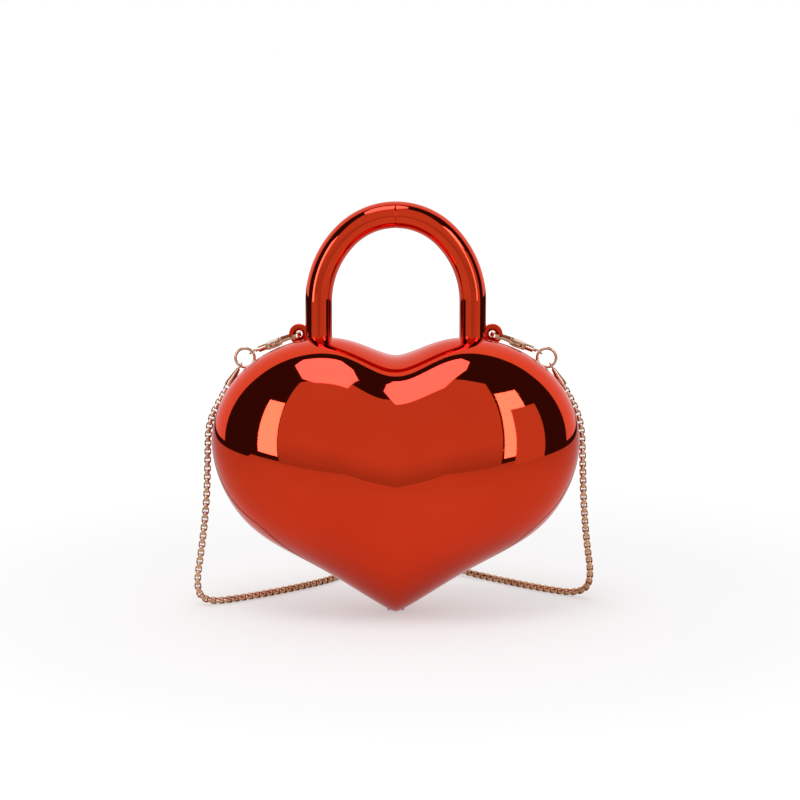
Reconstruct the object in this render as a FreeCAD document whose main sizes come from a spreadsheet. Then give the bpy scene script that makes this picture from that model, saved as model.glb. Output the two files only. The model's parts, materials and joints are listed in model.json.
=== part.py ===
"""Heart shaped purse: two moulded half shells, a tube handle and a clip-on chain strap."""
import FreeCAD, Part

import math
import os

import Sketcher
from FreeCAD import Placement, Rotation, Vector

# Driving dimensions, in millimetres and degrees
SIZES = {
    # heart shaped shells
    "half_width": 94.9,
    "lobe_height": 144.3,
    "cleft_drop": 9.1,
    "cleft_reach": 7.4,
    "tip_reach": 3.7,
    "half_depth": 46.0,
    "wall_rise": 25.0,
    "crown_height": 74.0,
    "crown_half_width": 60.0,
    "crown_half_height": 33.0,
    "wall": 2.2,
    "seam_gap": 0.2,
    "lining_gap": 0.3,
    "lining_thickness": 0.8,
    "lining_lip": 1.6,
    "lining_recess": 2.4,
    # tube handle
    "arch_half_span": 40.0,
    "arch_peak": 45.2,
    "arch_joint_angle": 45.0,
    "leg_height": 18.0,
    "tube_diameter": 14.0,
    "tube_bore": 8.0,
    "foot_plug": 8.0,
    "handle_setback": 7.6,
    "plug_angle": 16.0,
    "plug_clearance": 0.15,
    # screws and the block that they go through
    "screw_diameter": 2.6,
    "screw_head_diameter": 5.0,
    "screw_head_height": 1.8,
    "screw_bite": 6.0,
    "lug_screw_bite": 1.2,
    "screw_clearance": 0.1,
    "screw_block_depth": 9.0,
    "screw_block_drop": 10.0,
    "screw_block_margin": 4.2,
    # lugs for the clasps
    "lug_radius": 5.3,
    "lug_base": 3.0,
    "lug_inset": 3.2,
    "lug_thickness": 3.4,
    "lug_hole": 3.6,
    "lug_hole_height": 5.4,
    "lug_hole_chamfer": 1.3,
    "lug_setback": 11.0,
    "lug_gap": 0.2,
    "lug_tuck": 2.0,
    "lug_edge": 0.5,
    # hinge at the tip
    "hinge_height": 1.55,
    "knuckle_diameter": 2.8,
    "knuckle_half_length": 4.4,
    "centre_knuckle_half_length": 1.5,
    "knuckle_gap": 0.2,
    "knuckle_clearance": 0.35,
    "pin_diameter": 1.2,
    "pin_clearance": 0.04,
    # closing magnets
    "magnet_diameter": 6.0,
    "magnet_thickness": 2.4,
    "magnet_inset": 0.2,
    "magnet_block_width": 9.0,
    "magnet_block_height": 12.0,
    "magnet_block_depth": 6.0,
    # trigger clasps
    "hang_gap": 0.15,
    "clasp_thickness": 3.4,
    "clasp_nose": 2.0,
    "clasp_wire": 2.2,
    "clasp_opening_length": 10.2,
    "clasp_opening_half_width": 3.5,
    "clasp_corner": 1.6,
    "clasp_shoulder": 18.4,
    "clasp_tail": 22.6,
    "clasp_tail_half_width": 1.7,
    "clasp_shift": 1.2,
    "lever_thickness": 1.2,
    "lever_slot": 1.6,
    "lever_pivot": 14.0,
    "lever_pivot_side": 4.4,
    "lever_bar": 1.7,
    "lever_boss": 1.5,
    "lever_tip": 3.6,
    "rivet_diameter": 1.2,
    "lever_heel_room": 0.5,
    # swivel eyes, rings and end caps
    "eye_radius": 1.65,
    "eye_wire": 0.95,
    "stem_diameter": 1.7,
    "ring_radius": 4.95,
    "ring_wire": 1.6,
    "cap_length": 12.1,
    "cap_neck": 2.0,
    "cap_mouth": 4.6,
    "cap_taper": 0.8,
    # chain
    "chain_diameter": 3.7,
    "coil_radius": 24.5,
    "coil_spacing": 4.15,
    "coil_turns": 4.5,
    "coil_distance": 112.0,
    "coil_straight": 3.7,
    "tie_width": 5.0,
    "tie_thickness": 0.6,
    "tie_clearance": 0.15,
}

# Control points of the half outline between the cleft and the tip, as shares of half width and lobe height
OUTLINE_SHAPE = ((0.2821, 1.0382), (0.8078, 0.954), (1.0934, 0.6565), (0.8644, 0.2945), (0.4257, 0.1836))
FLANK_ANGLE = 31.0

# Hanging part of each chain end: distance outside the half width, setback, share of the lobe height
LEFT_FALL = ((3.3, 9.8, 0.672), (3.7, 9.6, 0.562), (4.6, 9.4, 0.38), (7.6, 9.2, 0.208),
             (10.2, 9.2, 0.098), (8.9, 9.4, 0.036))
RIGHT_FALL = ((2.4, 10.2, 0.672), (3.2, 11.2, 0.562), (4.0, 13.4, 0.39), (6.2, 17.0, 0.226),
              (9.0, 21.6, 0.106), (7.6, 26.2, 0.04))
# The rest lies on the floor: distance from the middle, setback, height above its own lowest place
LEFT_LAY = ((-97.0, 12.0, 0.0), (-84.0, 19.5, 0.0), (-66.0, 34.0, 0.0), (-48.0, 51.0, 0.0),
            (-34.5, 66.5, 0.0), (-27.2, 83.0, 0.25))
RIGHT_LAY = ((95.0, 32.0, 0.0), (82.0, 41.0, 0.0), (66.0, 55.0, 0.0), (50.5, 70.5, 0.0),
             (38.0, 80.5, 0.75), (28.6, 89.0, 3.55))
CHAIN_FIRST_RUN = 11.0

doc = FreeCAD.newDocument("heart_purse")
sheet = doc.addObject("Spreadsheet::Sheet", "sizes")
for row, (name, value) in enumerate(SIZES.items(), start=1):
    sheet.set(f"A{row}", name)
    sheet.set(f"B{row}", str(value))
    sheet.setAlias(f"B{row}", name)
doc.recompute()


def size(name):
    """One driving dimension, read from the sheet."""
    return float(sheet.get(name))


def derive(name, value):
    """Keep a size that follows from the others in a cell of its own."""
    row = len(SIZES) + len(derived) + 1
    sheet.set(f"A{row}", name)
    sheet.set(f"B{row}", str(value))
    sheet.setAlias(f"B{row}", name)
    derived.append(name)
    doc.recompute()


# The handle is a three-centred arch: a tighter crown arc between two wider side arcs
derived = []
joint = math.radians(size("arch_joint_angle"))
side_offset = (size("arch_peak") - size("arch_half_span")) / (1 + math.tan(joint) - 1 / math.cos(joint))
derive("side_arc_offset", side_offset)
derive("side_arc_radius", size("arch_half_span") + side_offset)
derive("crown_arc_height", side_offset * math.tan(joint))
derive("crown_arc_radius", size("arch_peak") - side_offset * math.tan(joint))
derive("cleft_height", size("lobe_height") - size("cleft_drop"))
derive("arch_height", size("lobe_height") + size("leg_height"))
derive("floor_height", min(0.0, size("hinge_height") - size("knuckle_diameter") / 2))

# The origin is the underside of the handle's top, where a hand or a hook carries the purse
grip_height = size("arch_height") + size("arch_peak") - size("tube_diameter") / 2
GRIP = "(sizes.arch_height + sizes.arch_peak - sizes.tube_diameter / 2)"
TO_ORIGIN = Placement(Vector(0, -size("handle_setback"), -grip_height), Rotation())
floor = size("floor_height")
SIDES = {"left": -1, "right": 1}
pieces = {}


def keep(name, obj):
    """Name an object as one finished piece of the purse."""
    obj.Label = name
    pieces[name] = obj
    return obj


def feature(name, shape):
    """A piece whose shape comes from Part's own functions, given at heights above the tip."""
    obj = doc.addObject("Part::Feature", name)
    obj.Shape = shape
    obj.Placement = TO_ORIGIN.multiply(shape.Placement)
    return obj


def bind(obj, **expressions):
    """Tie properties of an object to cells of the sheet."""
    for prop, text in expressions.items():
        obj.setExpression(prop.replace("_at_", "."), text)
    return obj


def place(obj, x, y, height, rotation=None):
    """Tie an object's place to cells, with its height given above the tip."""
    if rotation:
        obj.Placement = Placement(Vector(), rotation)
    obj.setExpression("Placement.Base.x", x)
    obj.setExpression("Placement.Base.y", f"{y} - sizes.handle_setback")
    obj.setExpression("Placement.Base.z", f"{height} - {GRIP}")
    return obj


ALONG_X = Rotation(Vector(0, 1, 0), 90)
ALONG_Y = Rotation(Vector(1, 0, 0), -90)


# Shells

def outline_poles(inset):
    """Half heart, from the cleft to the tip, drawn in by an even wall."""
    half_width, lobe_height = size("half_width"), size("lobe_height")
    cleft, tip = size("cleft_height"), 0.0
    poles = [(0, cleft), (size("cleft_reach"), cleft)]
    poles += [(x * half_width, z * lobe_height) for x, z in OUTLINE_SHAPE]
    poles += [(size("tip_reach"), tip), (0, tip)]
    moved = []
    for before, (x, z), after in zip(poles, poles[1:], poles[2:]):
        dx, dz = after[0] - before[0], after[1] - before[1]
        length = math.hypot(dx, dz)
        moved.append((x + inset * dz / length, z - inset * dx / length))
    tip_rise = inset / math.cos(math.radians(FLANK_ANGLE))
    moved[0] = (poles[1][0], cleft - inset)
    moved[-1] = (poles[-2][0], tip + tip_rise)
    return [(0, cleft - inset)] + moved + [(0, tip + tip_rise)]


def half_dome(inset, rim, facing, side):
    """One quarter of the body: a smooth surface from the outline to the crown."""
    outline = outline_poles(inset)
    depth = size("half_depth") - inset
    crown = (0.0, size("crown_height"))
    crown_width = size("crown_half_width") - inset / 2
    crown_half_height = size("crown_half_height") - inset / 2
    spans = len(outline) - 3
    greville = []
    for i in range(len(outline)):
        greville.append(sum(min(max(i + k - 3, 0), spans) for k in (1, 2, 3)) / 3 / spans)
    grid = []
    for i, ((x, z), share) in enumerate(zip(outline, greville)):
        angle = math.pi * (0.5 - share)
        across = crown_width * math.cos(angle)
        level = math.copysign(1, angle) if i in (1, len(outline) - 2) else math.sin(angle)
        up = crown[1] + crown_half_height * level
        grid.append([
            Vector(side * x, rim, z),
            Vector(side * x, rim + facing * (size("wall_rise") - inset / 2), z),
            Vector(side * across, facing * depth, up),
            Vector(0, facing * depth, crown[1]),
        ])
    surface = Part.BSplineSurface()
    surface.buildFromPolesMultsKnots(
        grid, [4] + [1] * (spans - 1) + [4], [4, 4], list(range(spans + 1)), [0, 1], False, False, 3, 3)
    return surface


def sewn(faces):
    """A closed solid from faces that share their edges."""
    shell = Part.makeShell(faces)
    shell.sewShape()
    solid = Part.makeSolid(shell)
    if solid.Volume < 0:
        solid.reverse()
    return solid


def rim_wire(domes):
    """The closed outline where two quarters meet the seam."""
    return Part.Wire(Part.__sortEdges__([dome.vIso(0).toShape() for dome in domes]))


def solid_dome(inset, rim, facing):
    """Half of the heart as a full body, closed flat at the rim."""
    domes = [half_dome(inset, rim, facing, side) for side in (1, -1)]
    return sewn([dome.toShape() for dome in domes] + [Part.Face(rim_wire(domes))])


def rim_face(inset, thickness, rim, facing):
    """The flat edge of an open shell."""
    wires = [rim_wire([half_dome(depth, rim, facing, side) for side in (1, -1)])
             for depth in (inset, inset + thickness)]
    return Part.makeFace(wires, "Part::FaceMakerBullseye")


def hollow_dome(inset, thickness, rim, facing):
    """Half of the heart as an open shell of even thickness."""
    domes = [half_dome(depth, rim, facing, side) for depth in (inset, inset + thickness) for side in (1, -1)]
    return sewn([dome.toShape() for dome in domes] + [rim_face(inset, thickness, rim, facing)])


def barrel(radius, start, end):
    """Part of the hinge barrel, along the hinge axis."""
    return Part.makeCylinder(radius, end - start, Vector(start, 0, size("hinge_height")), Vector(1, 0, 0))


def knuckle(start, end, facing):
    """A hinge knuckle with the web that ties it to the wall at the tip."""
    radius = size("knuckle_diameter") / 2
    web = Part.makeBox(end - start, radius + size("wall"), size("wall"),
                       Vector(start, 0 if facing > 0 else -radius - size("wall"), size("hinge_height")))
    return barrel(radius, start, end).fuse(web)


def magnet_block(facing):
    """The block under the cleft that holds a closing magnet."""
    width, height, depth = (size("magnet_block_" + key) for key in ("width", "height", "depth"))
    rim = facing * size("seam_gap") / 2
    return Part.makeBox(width, depth, height, Vector(-width / 2, rim if facing > 0 else rim - depth,
                        size("cleft_height") - size("wall") / 2 - height))


def magnet_height():
    """Height of the magnets' common axis."""
    return size("cleft_height") - size("wall") / 2 - size("magnet_block_height") / 2 - size("wall") / 2


def lug_x():
    """Distance of a lug's hole and screw from the middle of the purse."""
    return size("arch_half_span") + size("tube_diameter") / 2 + size("lug_gap") + size("lug_inset")


def screw_places():
    """Distance from the middle and setback of the handle screw and the lug screw."""
    return ((size("arch_half_span"), size("handle_setback")), (lug_x(), size("lug_setback")))


def block_floor():
    """Height of the flat faces inside that the screw heads sit on."""
    return size("lobe_height") - size("screw_block_height")


def inside_height(x, y, reach):
    """Lowest height of the inside of the back shell over a round place."""
    inside = solid_dome(size("wall"), size("seam_gap") / 2, 1)
    lows = []
    for turn in range(0, 360, 45):
        spot = Vector(x, y, 0) + Vector(math.cos(math.radians(turn)), math.sin(math.radians(turn)), 0) * reach
        probe = Part.makeLine(spot, spot + Vector(0, 0, 2 * size("lobe_height")))
        lows.append(inside.common(probe).BoundBox.ZMax)
    return min(lows)


head_reach = size("screw_head_diameter") / 2 + size("screw_clearance")
lug_inside = inside_height(lug_x(), size("lug_setback"), head_reach)
print("inside of the shell over the lug screw", round(lug_inside, 2))
derive("screw_block_height", max(size("screw_block_drop"), size("lobe_height") - lug_inside))


def screw_block(side, room=0.0, below=0.0):
    """The block inside the back shell that the handle screw and the lug screw go through."""
    margin = size("screw_block_margin")
    start, end = size("arch_half_span") - margin - room, lug_x() + margin + room
    depth = size("screw_block_depth") + 2 * room
    middle = (size("handle_setback") + size("lug_setback")) / 2
    left = start if side > 0 else -end
    return Part.makeBox(end - start, depth, size("screw_block_height") + below,
                        Vector(left, middle - depth / 2, block_floor() - below))


def shell_shape(facing):
    """A half shell with its hinge knuckles, magnet seat and, at the back, its screw blocks."""
    rim = facing * size("seam_gap") / 2
    wall = size("wall")
    shape = hollow_dome(0.0, wall, rim, facing)
    long, short, gap = (size(key) for key in (
        "knuckle_half_length", "centre_knuckle_half_length", "knuckle_gap"))
    outer_knuckles = [(-long, -short - gap), (short + gap, long)]
    own, other = (outer_knuckles, [(-short - gap, short + gap)]) if facing > 0 else (
        [(-short, short)], [(-long - gap, -short), (short, long + gap)])
    clearance = size("knuckle_diameter") / 2 + size("knuckle_clearance")
    for start, end in other:
        shape = shape.cut(barrel(clearance, start, end))
    added = [magnet_block(facing)]
    if facing > 0:
        inside = solid_dome(wall / 2, rim, facing)
        added += [screw_block(side).common(inside) for side in SIDES.values()]
    added += [knuckle(start, end, facing) for start, end in own]
    shape = shape.multiFuse(added)
    bore = size("pin_diameter") / 2 + size("pin_clearance")
    shape = shape.cut(barrel(bore, -2 * long, 2 * long))
    pocket = Part.makeCylinder(
        size("magnet_diameter") / 2 + size("plug_clearance"), size("magnet_thickness") + size("magnet_inset"),
        Vector(0, rim, magnet_height()), Vector(0, facing, 0))
    shape = shape.cut(pocket)
    if facing > 0:
        radius = size("screw_diameter") / 2 + size("screw_clearance")
        for side in SIDES.values():
            for x, y in screw_places():
                shape = shape.cut(Part.makeCylinder(radius, 3 * size("screw_block_height"),
                                                    Vector(side * x, y, block_floor() - 1)))
    return shape.removeSplitter()


def lining_shape(facing):
    """The soft lining, a thin tray just inside the wall, cut away round the blocks and the hinge."""
    inset, thickness = size("wall") + size("lining_gap"), size("lining_thickness")
    rim = facing * size("seam_gap") / 2
    shape = hollow_dome(inset, thickness, rim, facing)
    room = size("lining_gap")
    if facing > 0:
        lip = rim_face(inset, thickness, rim, facing)
        shape = shape.fuse(lip.extrude(Vector(0, -size("lining_lip") - rim, 0)))
    else:
        wide = 4 * size("half_width")
        shape = shape.cut(Part.makeBox(wide, size("lining_recess"), wide,
                                       Vector(-wide / 2, -size("lining_recess"), -wide / 2)))
    hinge_room = 2 * size("knuckle_half_length")
    cuts = [Part.makeBox(2 * hinge_room, 4 * hinge_room, hinge_room, Vector(-hinge_room, -2 * hinge_room, 0))]
    width, height, depth = (size("magnet_block_" + key) for key in ("width", "height", "depth"))
    corner = Vector(-width / 2 - room, -depth - room, size("cleft_height") - height - room - 1)
    cuts.append(Part.makeBox(width + 2 * room, 2 * (depth + room), height + room, corner))
    if facing > 0:
        cuts += [screw_block(side, room, size("screw_head_height") + room) for side in SIDES.values()]
    for tool in cuts:
        shape = shape.cut(tool)
    return shape


back_body = feature("back_body", solid_dome(0.0, size("seam_gap") / 2, 1))
for label, facing in (("back", 1), ("front", -1)):
    keep(label + "_shell", feature(label + "_shell", shell_shape(facing)))
    keep(label + "_lining", feature(label + "_lining", lining_shape(facing)))
    magnet = doc.addObject("Part::Cylinder", label + "_magnet")
    bind(magnet, Radius="sizes.magnet_diameter / 2", Height="sizes.magnet_thickness")
    near = "sizes.seam_gap / 2 + sizes.magnet_inset"
    start = near if facing > 0 else f"-({near} + sizes.magnet_thickness)"
    place(magnet, "0", start, "(sizes.cleft_height - sizes.wall - sizes.magnet_block_height / 2)", ALONG_Y)
    keep(label + "_magnet", magnet)

pin = doc.addObject("Part::Cylinder", "hinge_pin")
bind(pin, Radius="sizes.pin_diameter / 2", Height="2 * sizes.knuckle_half_length")
place(pin, "-sizes.knuckle_half_length", "0", "sizes.hinge_height", ALONG_X)
keep("hinge_pin", pin)


# Handle

def origin_plane(body, role):
    """One of a body's own reference planes."""
    return next(f for f in body.Origin.OriginFeatures if f.Role == role)


def ring_sketch(body, name, side, keys, drop=None):
    """Circles round the middle of one leg of the handle, on a level plane."""
    ring = body.newObject("Sketcher::SketchObject", name)
    ring.AttachmentSupport = [(origin_plane(body, "XY_Plane"), "")]
    ring.MapMode = "FlatFace"
    if drop:
        ring.setExpression("AttachmentOffset.Base.z", f"-({drop})")
    for index, key in enumerate(keys):
        middle = Vector(side * size("arch_half_span"), 0, 0)
        ring.addGeometry(Part.Circle(middle, Vector(0, 0, 1), size(key) / 2), False)
        held = {ring.addConstraint(Sketcher.Constraint("Diameter", index, size(key))): f"sizes.{key}"}
        ring.addConstraint(Sketcher.Constraint("PointOnObject", index, 3, -1))
        across = Sketcher.Constraint("DistanceX", -1, 1, index, 3, side * size("arch_half_span"))
        held[ring.addConstraint(across)] = f"{side} * sizes.arch_half_span"
        for constraint, text in held.items():
            ring.setExpression(f"Constraints[{constraint}]", text)
    return ring


def arch_sketch(body, name, side):
    """Middle line of one half of the arch: a side arc from the leg, then half of the crown arc."""
    line = body.newObject("Sketcher::SketchObject", name)
    line.AttachmentSupport = [(origin_plane(body, "XZ_Plane"), "")]
    line.MapMode = "FlatFace"
    turn = math.radians(size("arch_joint_angle"))
    centres = (Vector(-side * size("side_arc_offset"), 0, 0), Vector(0, size("crown_arc_height"), 0))
    spans = ((0, turn), (turn, math.pi / 2)) if side > 0 else (
        (math.pi - turn, math.pi), (math.pi / 2, math.pi - turn))
    for index, (key, centre, span) in enumerate(zip(("side_arc", "crown_arc"), centres, spans)):
        circle = Part.Circle(centre, Vector(0, 0, 1), size(key + "_radius"))
        line.addGeometry(Part.ArcOfCircle(circle, *span), False)
        line.addConstraint(Sketcher.Constraint("PointOnObject", index, 3, -1 - index))
    foot, top = (1, 2) if side > 0 else (2, 1)
    wide = line.addConstraint(Sketcher.Constraint("Radius", 0, size("side_arc_radius")))
    line.setExpression(f"Constraints[{wide}]", "sizes.side_arc_radius")
    line.addConstraint(Sketcher.Constraint("PointOnObject", 0, foot, -1))
    line.addConstraint(Sketcher.Constraint("PointOnObject", 1, top, -2))
    line.addConstraint(Sketcher.Constraint("Tangent", 0, top, 1, foot))
    across = Sketcher.Constraint("DistanceX", -1, 1, 0, foot, side * size("arch_half_span"))
    line.setExpression(f"Constraints[{line.addConstraint(across)}]", f"{side} * sizes.arch_half_span")
    up = line.addConstraint(Sketcher.Constraint("DistanceY", -1, 1, 1, top, size("arch_peak")))
    line.setExpression(f"Constraints[{up}]", "sizes.arch_peak")
    return line


def handle_half(name, side):
    """Half of the arch in hollow tube with its straight leg, closed at the foot."""
    body = doc.addObject("PartDesign::Body", name + "_tube")
    ring = ring_sketch(body, name + "_ring", side, ("tube_diameter", "tube_bore"))
    bend = body.newObject("PartDesign::AdditivePipe", name + "_bend")
    bend.Profile = ring
    bend.Spine = (arch_sketch(body, name + "_arch", side), ["Edge1", "Edge2"])
    leg = body.newObject("PartDesign::Pad", name + "_leg")
    leg.Profile = ring
    leg.Reversed = True
    hollow = "sizes.leg_height - sizes.foot_plug / 2"
    bind(leg, Length=hollow)
    foot = body.newObject("PartDesign::Pad", name + "_foot")
    foot.Profile = ring_sketch(body, name + "_foot_ring", side, ("tube_diameter",), hollow)
    foot.Reversed = True
    bind(foot, Length="2 * sizes.foot_plug")
    place(body, "0", "sizes.handle_setback", "sizes.arch_height")
    return body


def screw_hole(name, x, setback, top, radius="(sizes.screw_diameter / 2 + sizes.screw_clearance)"):
    """A cylinder up from the screw block to the height that the screw reaches."""
    hole = doc.addObject("Part::Cylinder", name)
    bind(hole, Radius=radius, Height=f"{top} - sizes.lobe_height + sizes.screw_block_height")
    return place(hole, x, setback, "(sizes.lobe_height - sizes.screw_block_height)")


def lug_foot():
    """Height of the shell under the middle of a lug."""
    probe = Part.makeLine(Vector(lug_x(), size("lug_setback"), 0),
                          Vector(lug_x(), size("lug_setback"), 2 * size("lobe_height")))
    return solid_dome(0.0, size("seam_gap") / 2, 1).common(probe).BoundBox.ZMax


derive("lug_foot_height", lug_foot())


def cut(name, base, tools):
    """A piece with tools cut out of it, one after another."""
    for index, tool in enumerate(tools):
        step = doc.addObject("Part::Cut", f"{name}_cut_{index}")
        step.Base, step.Tool = base, tool
        base = step
    return base


LUG_X = "(sizes.arch_half_span + sizes.tube_diameter / 2 + sizes.lug_gap + sizes.lug_inset)"
HANDLE_SCREW_TOP = "(sizes.lobe_height + sizes.screw_bite)"
LUG_SCREW_TOP = "(sizes.lug_foot_height + sizes.lug_screw_bite)"
for label, side in SIDES.items():
    name = f"handle_{label}_half"
    tube = handle_half(name, side)
    hole = screw_hole(name + "_hole", f"{side} * sizes.arch_half_span", "sizes.handle_setback",
                      f"{HANDLE_SCREW_TOP} + sizes.screw_clearance")
    keep(name, cut(name, tube, [back_body, hole]))

plug = doc.addObject("Part::Torus", "handle_joint_plug")
bind(plug, Radius1="sizes.crown_arc_radius", Radius2="sizes.tube_bore / 2 - sizes.plug_clearance",
     Angle3="2 * sizes.plug_angle")
plug.Placement = Placement(Vector(), Rotation(Vector(1, 0, 0), 90))
place(plug, "0", "sizes.handle_setback", "(sizes.arch_height + sizes.crown_arc_height)")
turn = Rotation(Vector(1, 0, 0), 90) * Rotation(Vector(0, 0, 1), 90 - size("plug_angle"))
plug.Placement = Placement(plug.Placement.Base, turn)
keep("handle_joint_plug", plug)

for kind, x, setback, top in (("handle", "sizes.arch_half_span", "sizes.handle_setback", HANDLE_SCREW_TOP),
                              ("lug", LUG_X, "sizes.lug_setback", LUG_SCREW_TOP)):
    screws = []
    for label, side in SIDES.items():
        shank = screw_hole(f"{kind}_{label}_shank", f"{side} * {x}", setback, top, "sizes.screw_diameter / 2")
        head = doc.addObject("Part::Cylinder", f"{kind}_{label}_head")
        bind(head, Radius="sizes.screw_head_diameter / 2", Height="sizes.screw_head_height")
        place(head, f"{side} * {x}", setback,
              "(sizes.lobe_height - sizes.screw_block_height - sizes.screw_head_height)")
        screw = doc.addObject("Part::Fuse", f"{kind}_{label}_screw")
        screw.Base, screw.Tool = shank, head
        screws.append(screw)
    pair = doc.addObject("Part::Compound", f"{kind}_screws")
    pair.Links = screws
    keep(f"{kind}_screws", pair)


# Lugs beside the handle feet

def lug_blank(side):
    """A round ear fitted to the handle's leg, with a dished hole, on a base that runs into the shell."""
    inner = lug_x() - size("lug_inset")
    leg = inner - size("lug_gap") - size("lug_tuck")
    low, middle = block_floor(), Vector(lug_x(), 0, hole_height())
    radius, base, thickness = size("lug_radius"), size("lug_base"), size("lug_thickness")
    rise = math.sqrt(radius ** 2 - size("lug_inset") ** 2)
    fall = math.sqrt(radius ** 2 - base ** 2)
    top, bottom = Vector(inner, 0, middle.z + rise), Vector(lug_x() + base, 0, middle.z - fall)
    corners = [bottom, Vector(lug_x() + base, 0, low), Vector(leg, 0, low), Vector(leg, 0, top.z), top]
    edges = [Part.LineSegment(a, b) for a, b in zip(corners, corners[1:])]
    edges.append(Part.Arc(top, middle + Vector(radius, 0, 0), bottom))
    face = Part.Face(Part.Wire([edge.toShape() for edge in edges]))
    plate = face.extrude(Vector(0, thickness, 0))
    outer = [e for e in plate.Edges if e.CenterOfMass.x > lug_x()]
    rounded = [e for e in outer if abs(e.tangentAt(e.FirstParameter).y) < 0.5]
    plate = plate.makeFillet(size("lug_edge"), [e for e in rounded if e.CenterOfMass.z > low + 1])
    hole, chamfer = size("lug_hole") / 2, size("lug_hole_chamfer")
    plate = plate.cut(Part.makeCylinder(hole, thickness, middle, Vector(0, 1, 0)))
    for near, way in ((0, 1), (thickness, -1)):
        start = middle + Vector(0, near, 0)
        plate = plate.cut(Part.makeCone(hole + chamfer, hole, chamfer, start, Vector(0, way, 0)))
    plate.translate(Vector(0, size("lug_setback") - thickness / 2, 0))
    around = Vector(size("arch_half_span"), size("handle_setback"), 0)
    leg_room = size("tube_diameter") / 2 + size("lug_gap")
    plate = plate.cut(Part.makeCylinder(leg_room, 2 * size("lobe_height"), around))
    if side < 0:
        plate = plate.mirror(Vector(), Vector(1, 0, 0))
    return plate


def hole_height():
    """Height of the lug holes' axis."""
    return size("lug_foot_height") + size("lug_hole_height")


for label, side in SIDES.items():
    name = label + "_lug"
    blank = feature(name + "_blank", lug_blank(side))
    hole = screw_hole(name + "_pilot", f"{side} * {LUG_X}", "sizes.lug_setback",
                      f"{LUG_SCREW_TOP} + sizes.screw_clearance")
    keep(name, cut(name, blank, [back_body, hole]))


# Trigger clasps, drawn with the clasp along +X from the lug hole and its loop in the XY plane

def rounded_box(x0, x1, half_width, radius, half_height):
    """A flat block with round corners."""
    block = Part.makeBox(x1 - x0, 2 * half_width, 2 * half_height, Vector(x0, -half_width, -half_height))
    corners = [e for e in block.Edges if abs(e.tangentAt(e.FirstParameter).z) > 0.5]
    return block.makeFillet(radius, corners)


def clasp_hook():
    """The cast hook: a loop with a nose, a shoulder and a round tail."""
    wire, half = size("clasp_wire"), size("clasp_thickness") / 2
    opening_start = wire / 2
    opening_end = opening_start + size("clasp_opening_length")
    outer_half = size("clasp_opening_half_width") + wire
    tail = size("clasp_tail_half_width")
    body = rounded_box(-wire / 2, size("clasp_shoulder"), outer_half, size("clasp_corner") + wire, half)
    stem_start = Vector(opening_end, 0, 0)
    stem = Part.makeCylinder(tail, size("clasp_tail") - opening_end, stem_start, Vector(1, 0, 0))
    body = body.fuse(stem)
    body = body.cut(rounded_box(opening_start, opening_end, size("clasp_opening_half_width"),
                                size("clasp_corner"), 2 * half))
    gate = Part.makeBox(opening_end - size("lever_tip") + 0.2, wire + 1, 4 * half,
                        Vector(size("lever_tip") - 0.2, -outer_half - 1, -2 * half))
    slot_half = size("lever_slot") / 2
    slot_start = opening_end - 1.5 * size("clasp_corner")
    slot = Part.makeBox(slot_end() - slot_start, outer_half, 2 * slot_half,
                        Vector(slot_start, -outer_half - 0.5, -slot_half))
    rivet = Part.makeCylinder(size("rivet_diameter") / 2, 4 * half,
                              Vector(size("lever_pivot"), -size("lever_pivot_side"), -2 * half))
    bore = Part.makeCylinder(size("stem_diameter") / 2 + size("pin_clearance"), size("clasp_tail") / 6,
                             Vector(size("clasp_tail") * 5 / 6, 0, 0), Vector(1, 0, 0))
    for tool in (gate, slot, rivet, bore, *nose_wedges(opening_end)):
        body = body.cut(tool)
    return body


def nose_wedges(end):
    """What is taken off above and below to thin the hook towards its nose."""
    start, half, nose = -size("clasp_wire") / 2, size("clasp_thickness") / 2, size("clasp_nose") / 2
    wide = 4 * (size("clasp_opening_half_width") + size("clasp_wire"))
    wedges = []
    for way in (1, -1):
        corners = [(start, nose), (end, half), (end, 2 * half), (2 * start, 2 * half), (2 * start, nose)]
        points = [Vector(x, -wide / 2, way * z) for x, z in corners]
        face = Part.Face(Part.makePolygon(points + points[:1]))
        wedges.append(face.extrude(Vector(0, wide, 0)))
    return wedges


def slot_end():
    """Where the slot for the lever ends, behind its boss."""
    return size("lever_pivot") + size("lever_boss") + size("lever_heel_room")


def clasp_lever():
    """The sprung gate: a bar from the nose to its boss, with a thumb nub outside."""
    half = size("lever_thickness") / 2
    bar, pivot, side = size("lever_bar"), size("lever_pivot"), size("lever_pivot_side")
    outer_half = size("clasp_opening_half_width") + size("clasp_wire")
    corner = Vector(size("lever_tip"), -side - bar / 2, -half)
    lever = Part.makeBox(pivot - size("lever_tip"), bar, 2 * half, corner)
    lever = lever.fuse(Part.makeCylinder(size("lever_boss"), 2 * half, Vector(pivot, -side, -half)))
    nub_place = Vector(pivot - 2.4 * size("lever_boss"), -outer_half, -half)
    nub = Part.makeCylinder(size("lever_boss"), 2 * half, nub_place)
    lever = lever.fuse(nub)
    hole = Part.makeCylinder(size("rivet_diameter") / 2 + size("pin_clearance"), 4 * half,
                             Vector(pivot, -side, -2 * half))
    return lever.cut(hole).removeSplitter()


def clasp_rivet():
    """The pin that the lever turns on, flush with the hook's cheeks."""
    half = size("clasp_thickness") / 2
    return Part.makeCylinder(size("rivet_diameter") / 2, 2 * half,
                             Vector(size("lever_pivot"), -size("lever_pivot_side"), -half))


def clasp_frame(side, pitch):
    """Where a clasp hangs: its hook in the lug hole, its tail down and out over the shoulder."""
    spin = Rotation(Vector(0, 1, 0), side * pitch)
    if side < 0:
        spin = spin * Rotation(Vector(0, 1, 0), 180)
    return Placement(Vector(side * lug_x(), size("lug_setback") - size("clasp_shift"), hole_height()), spin)


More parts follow.
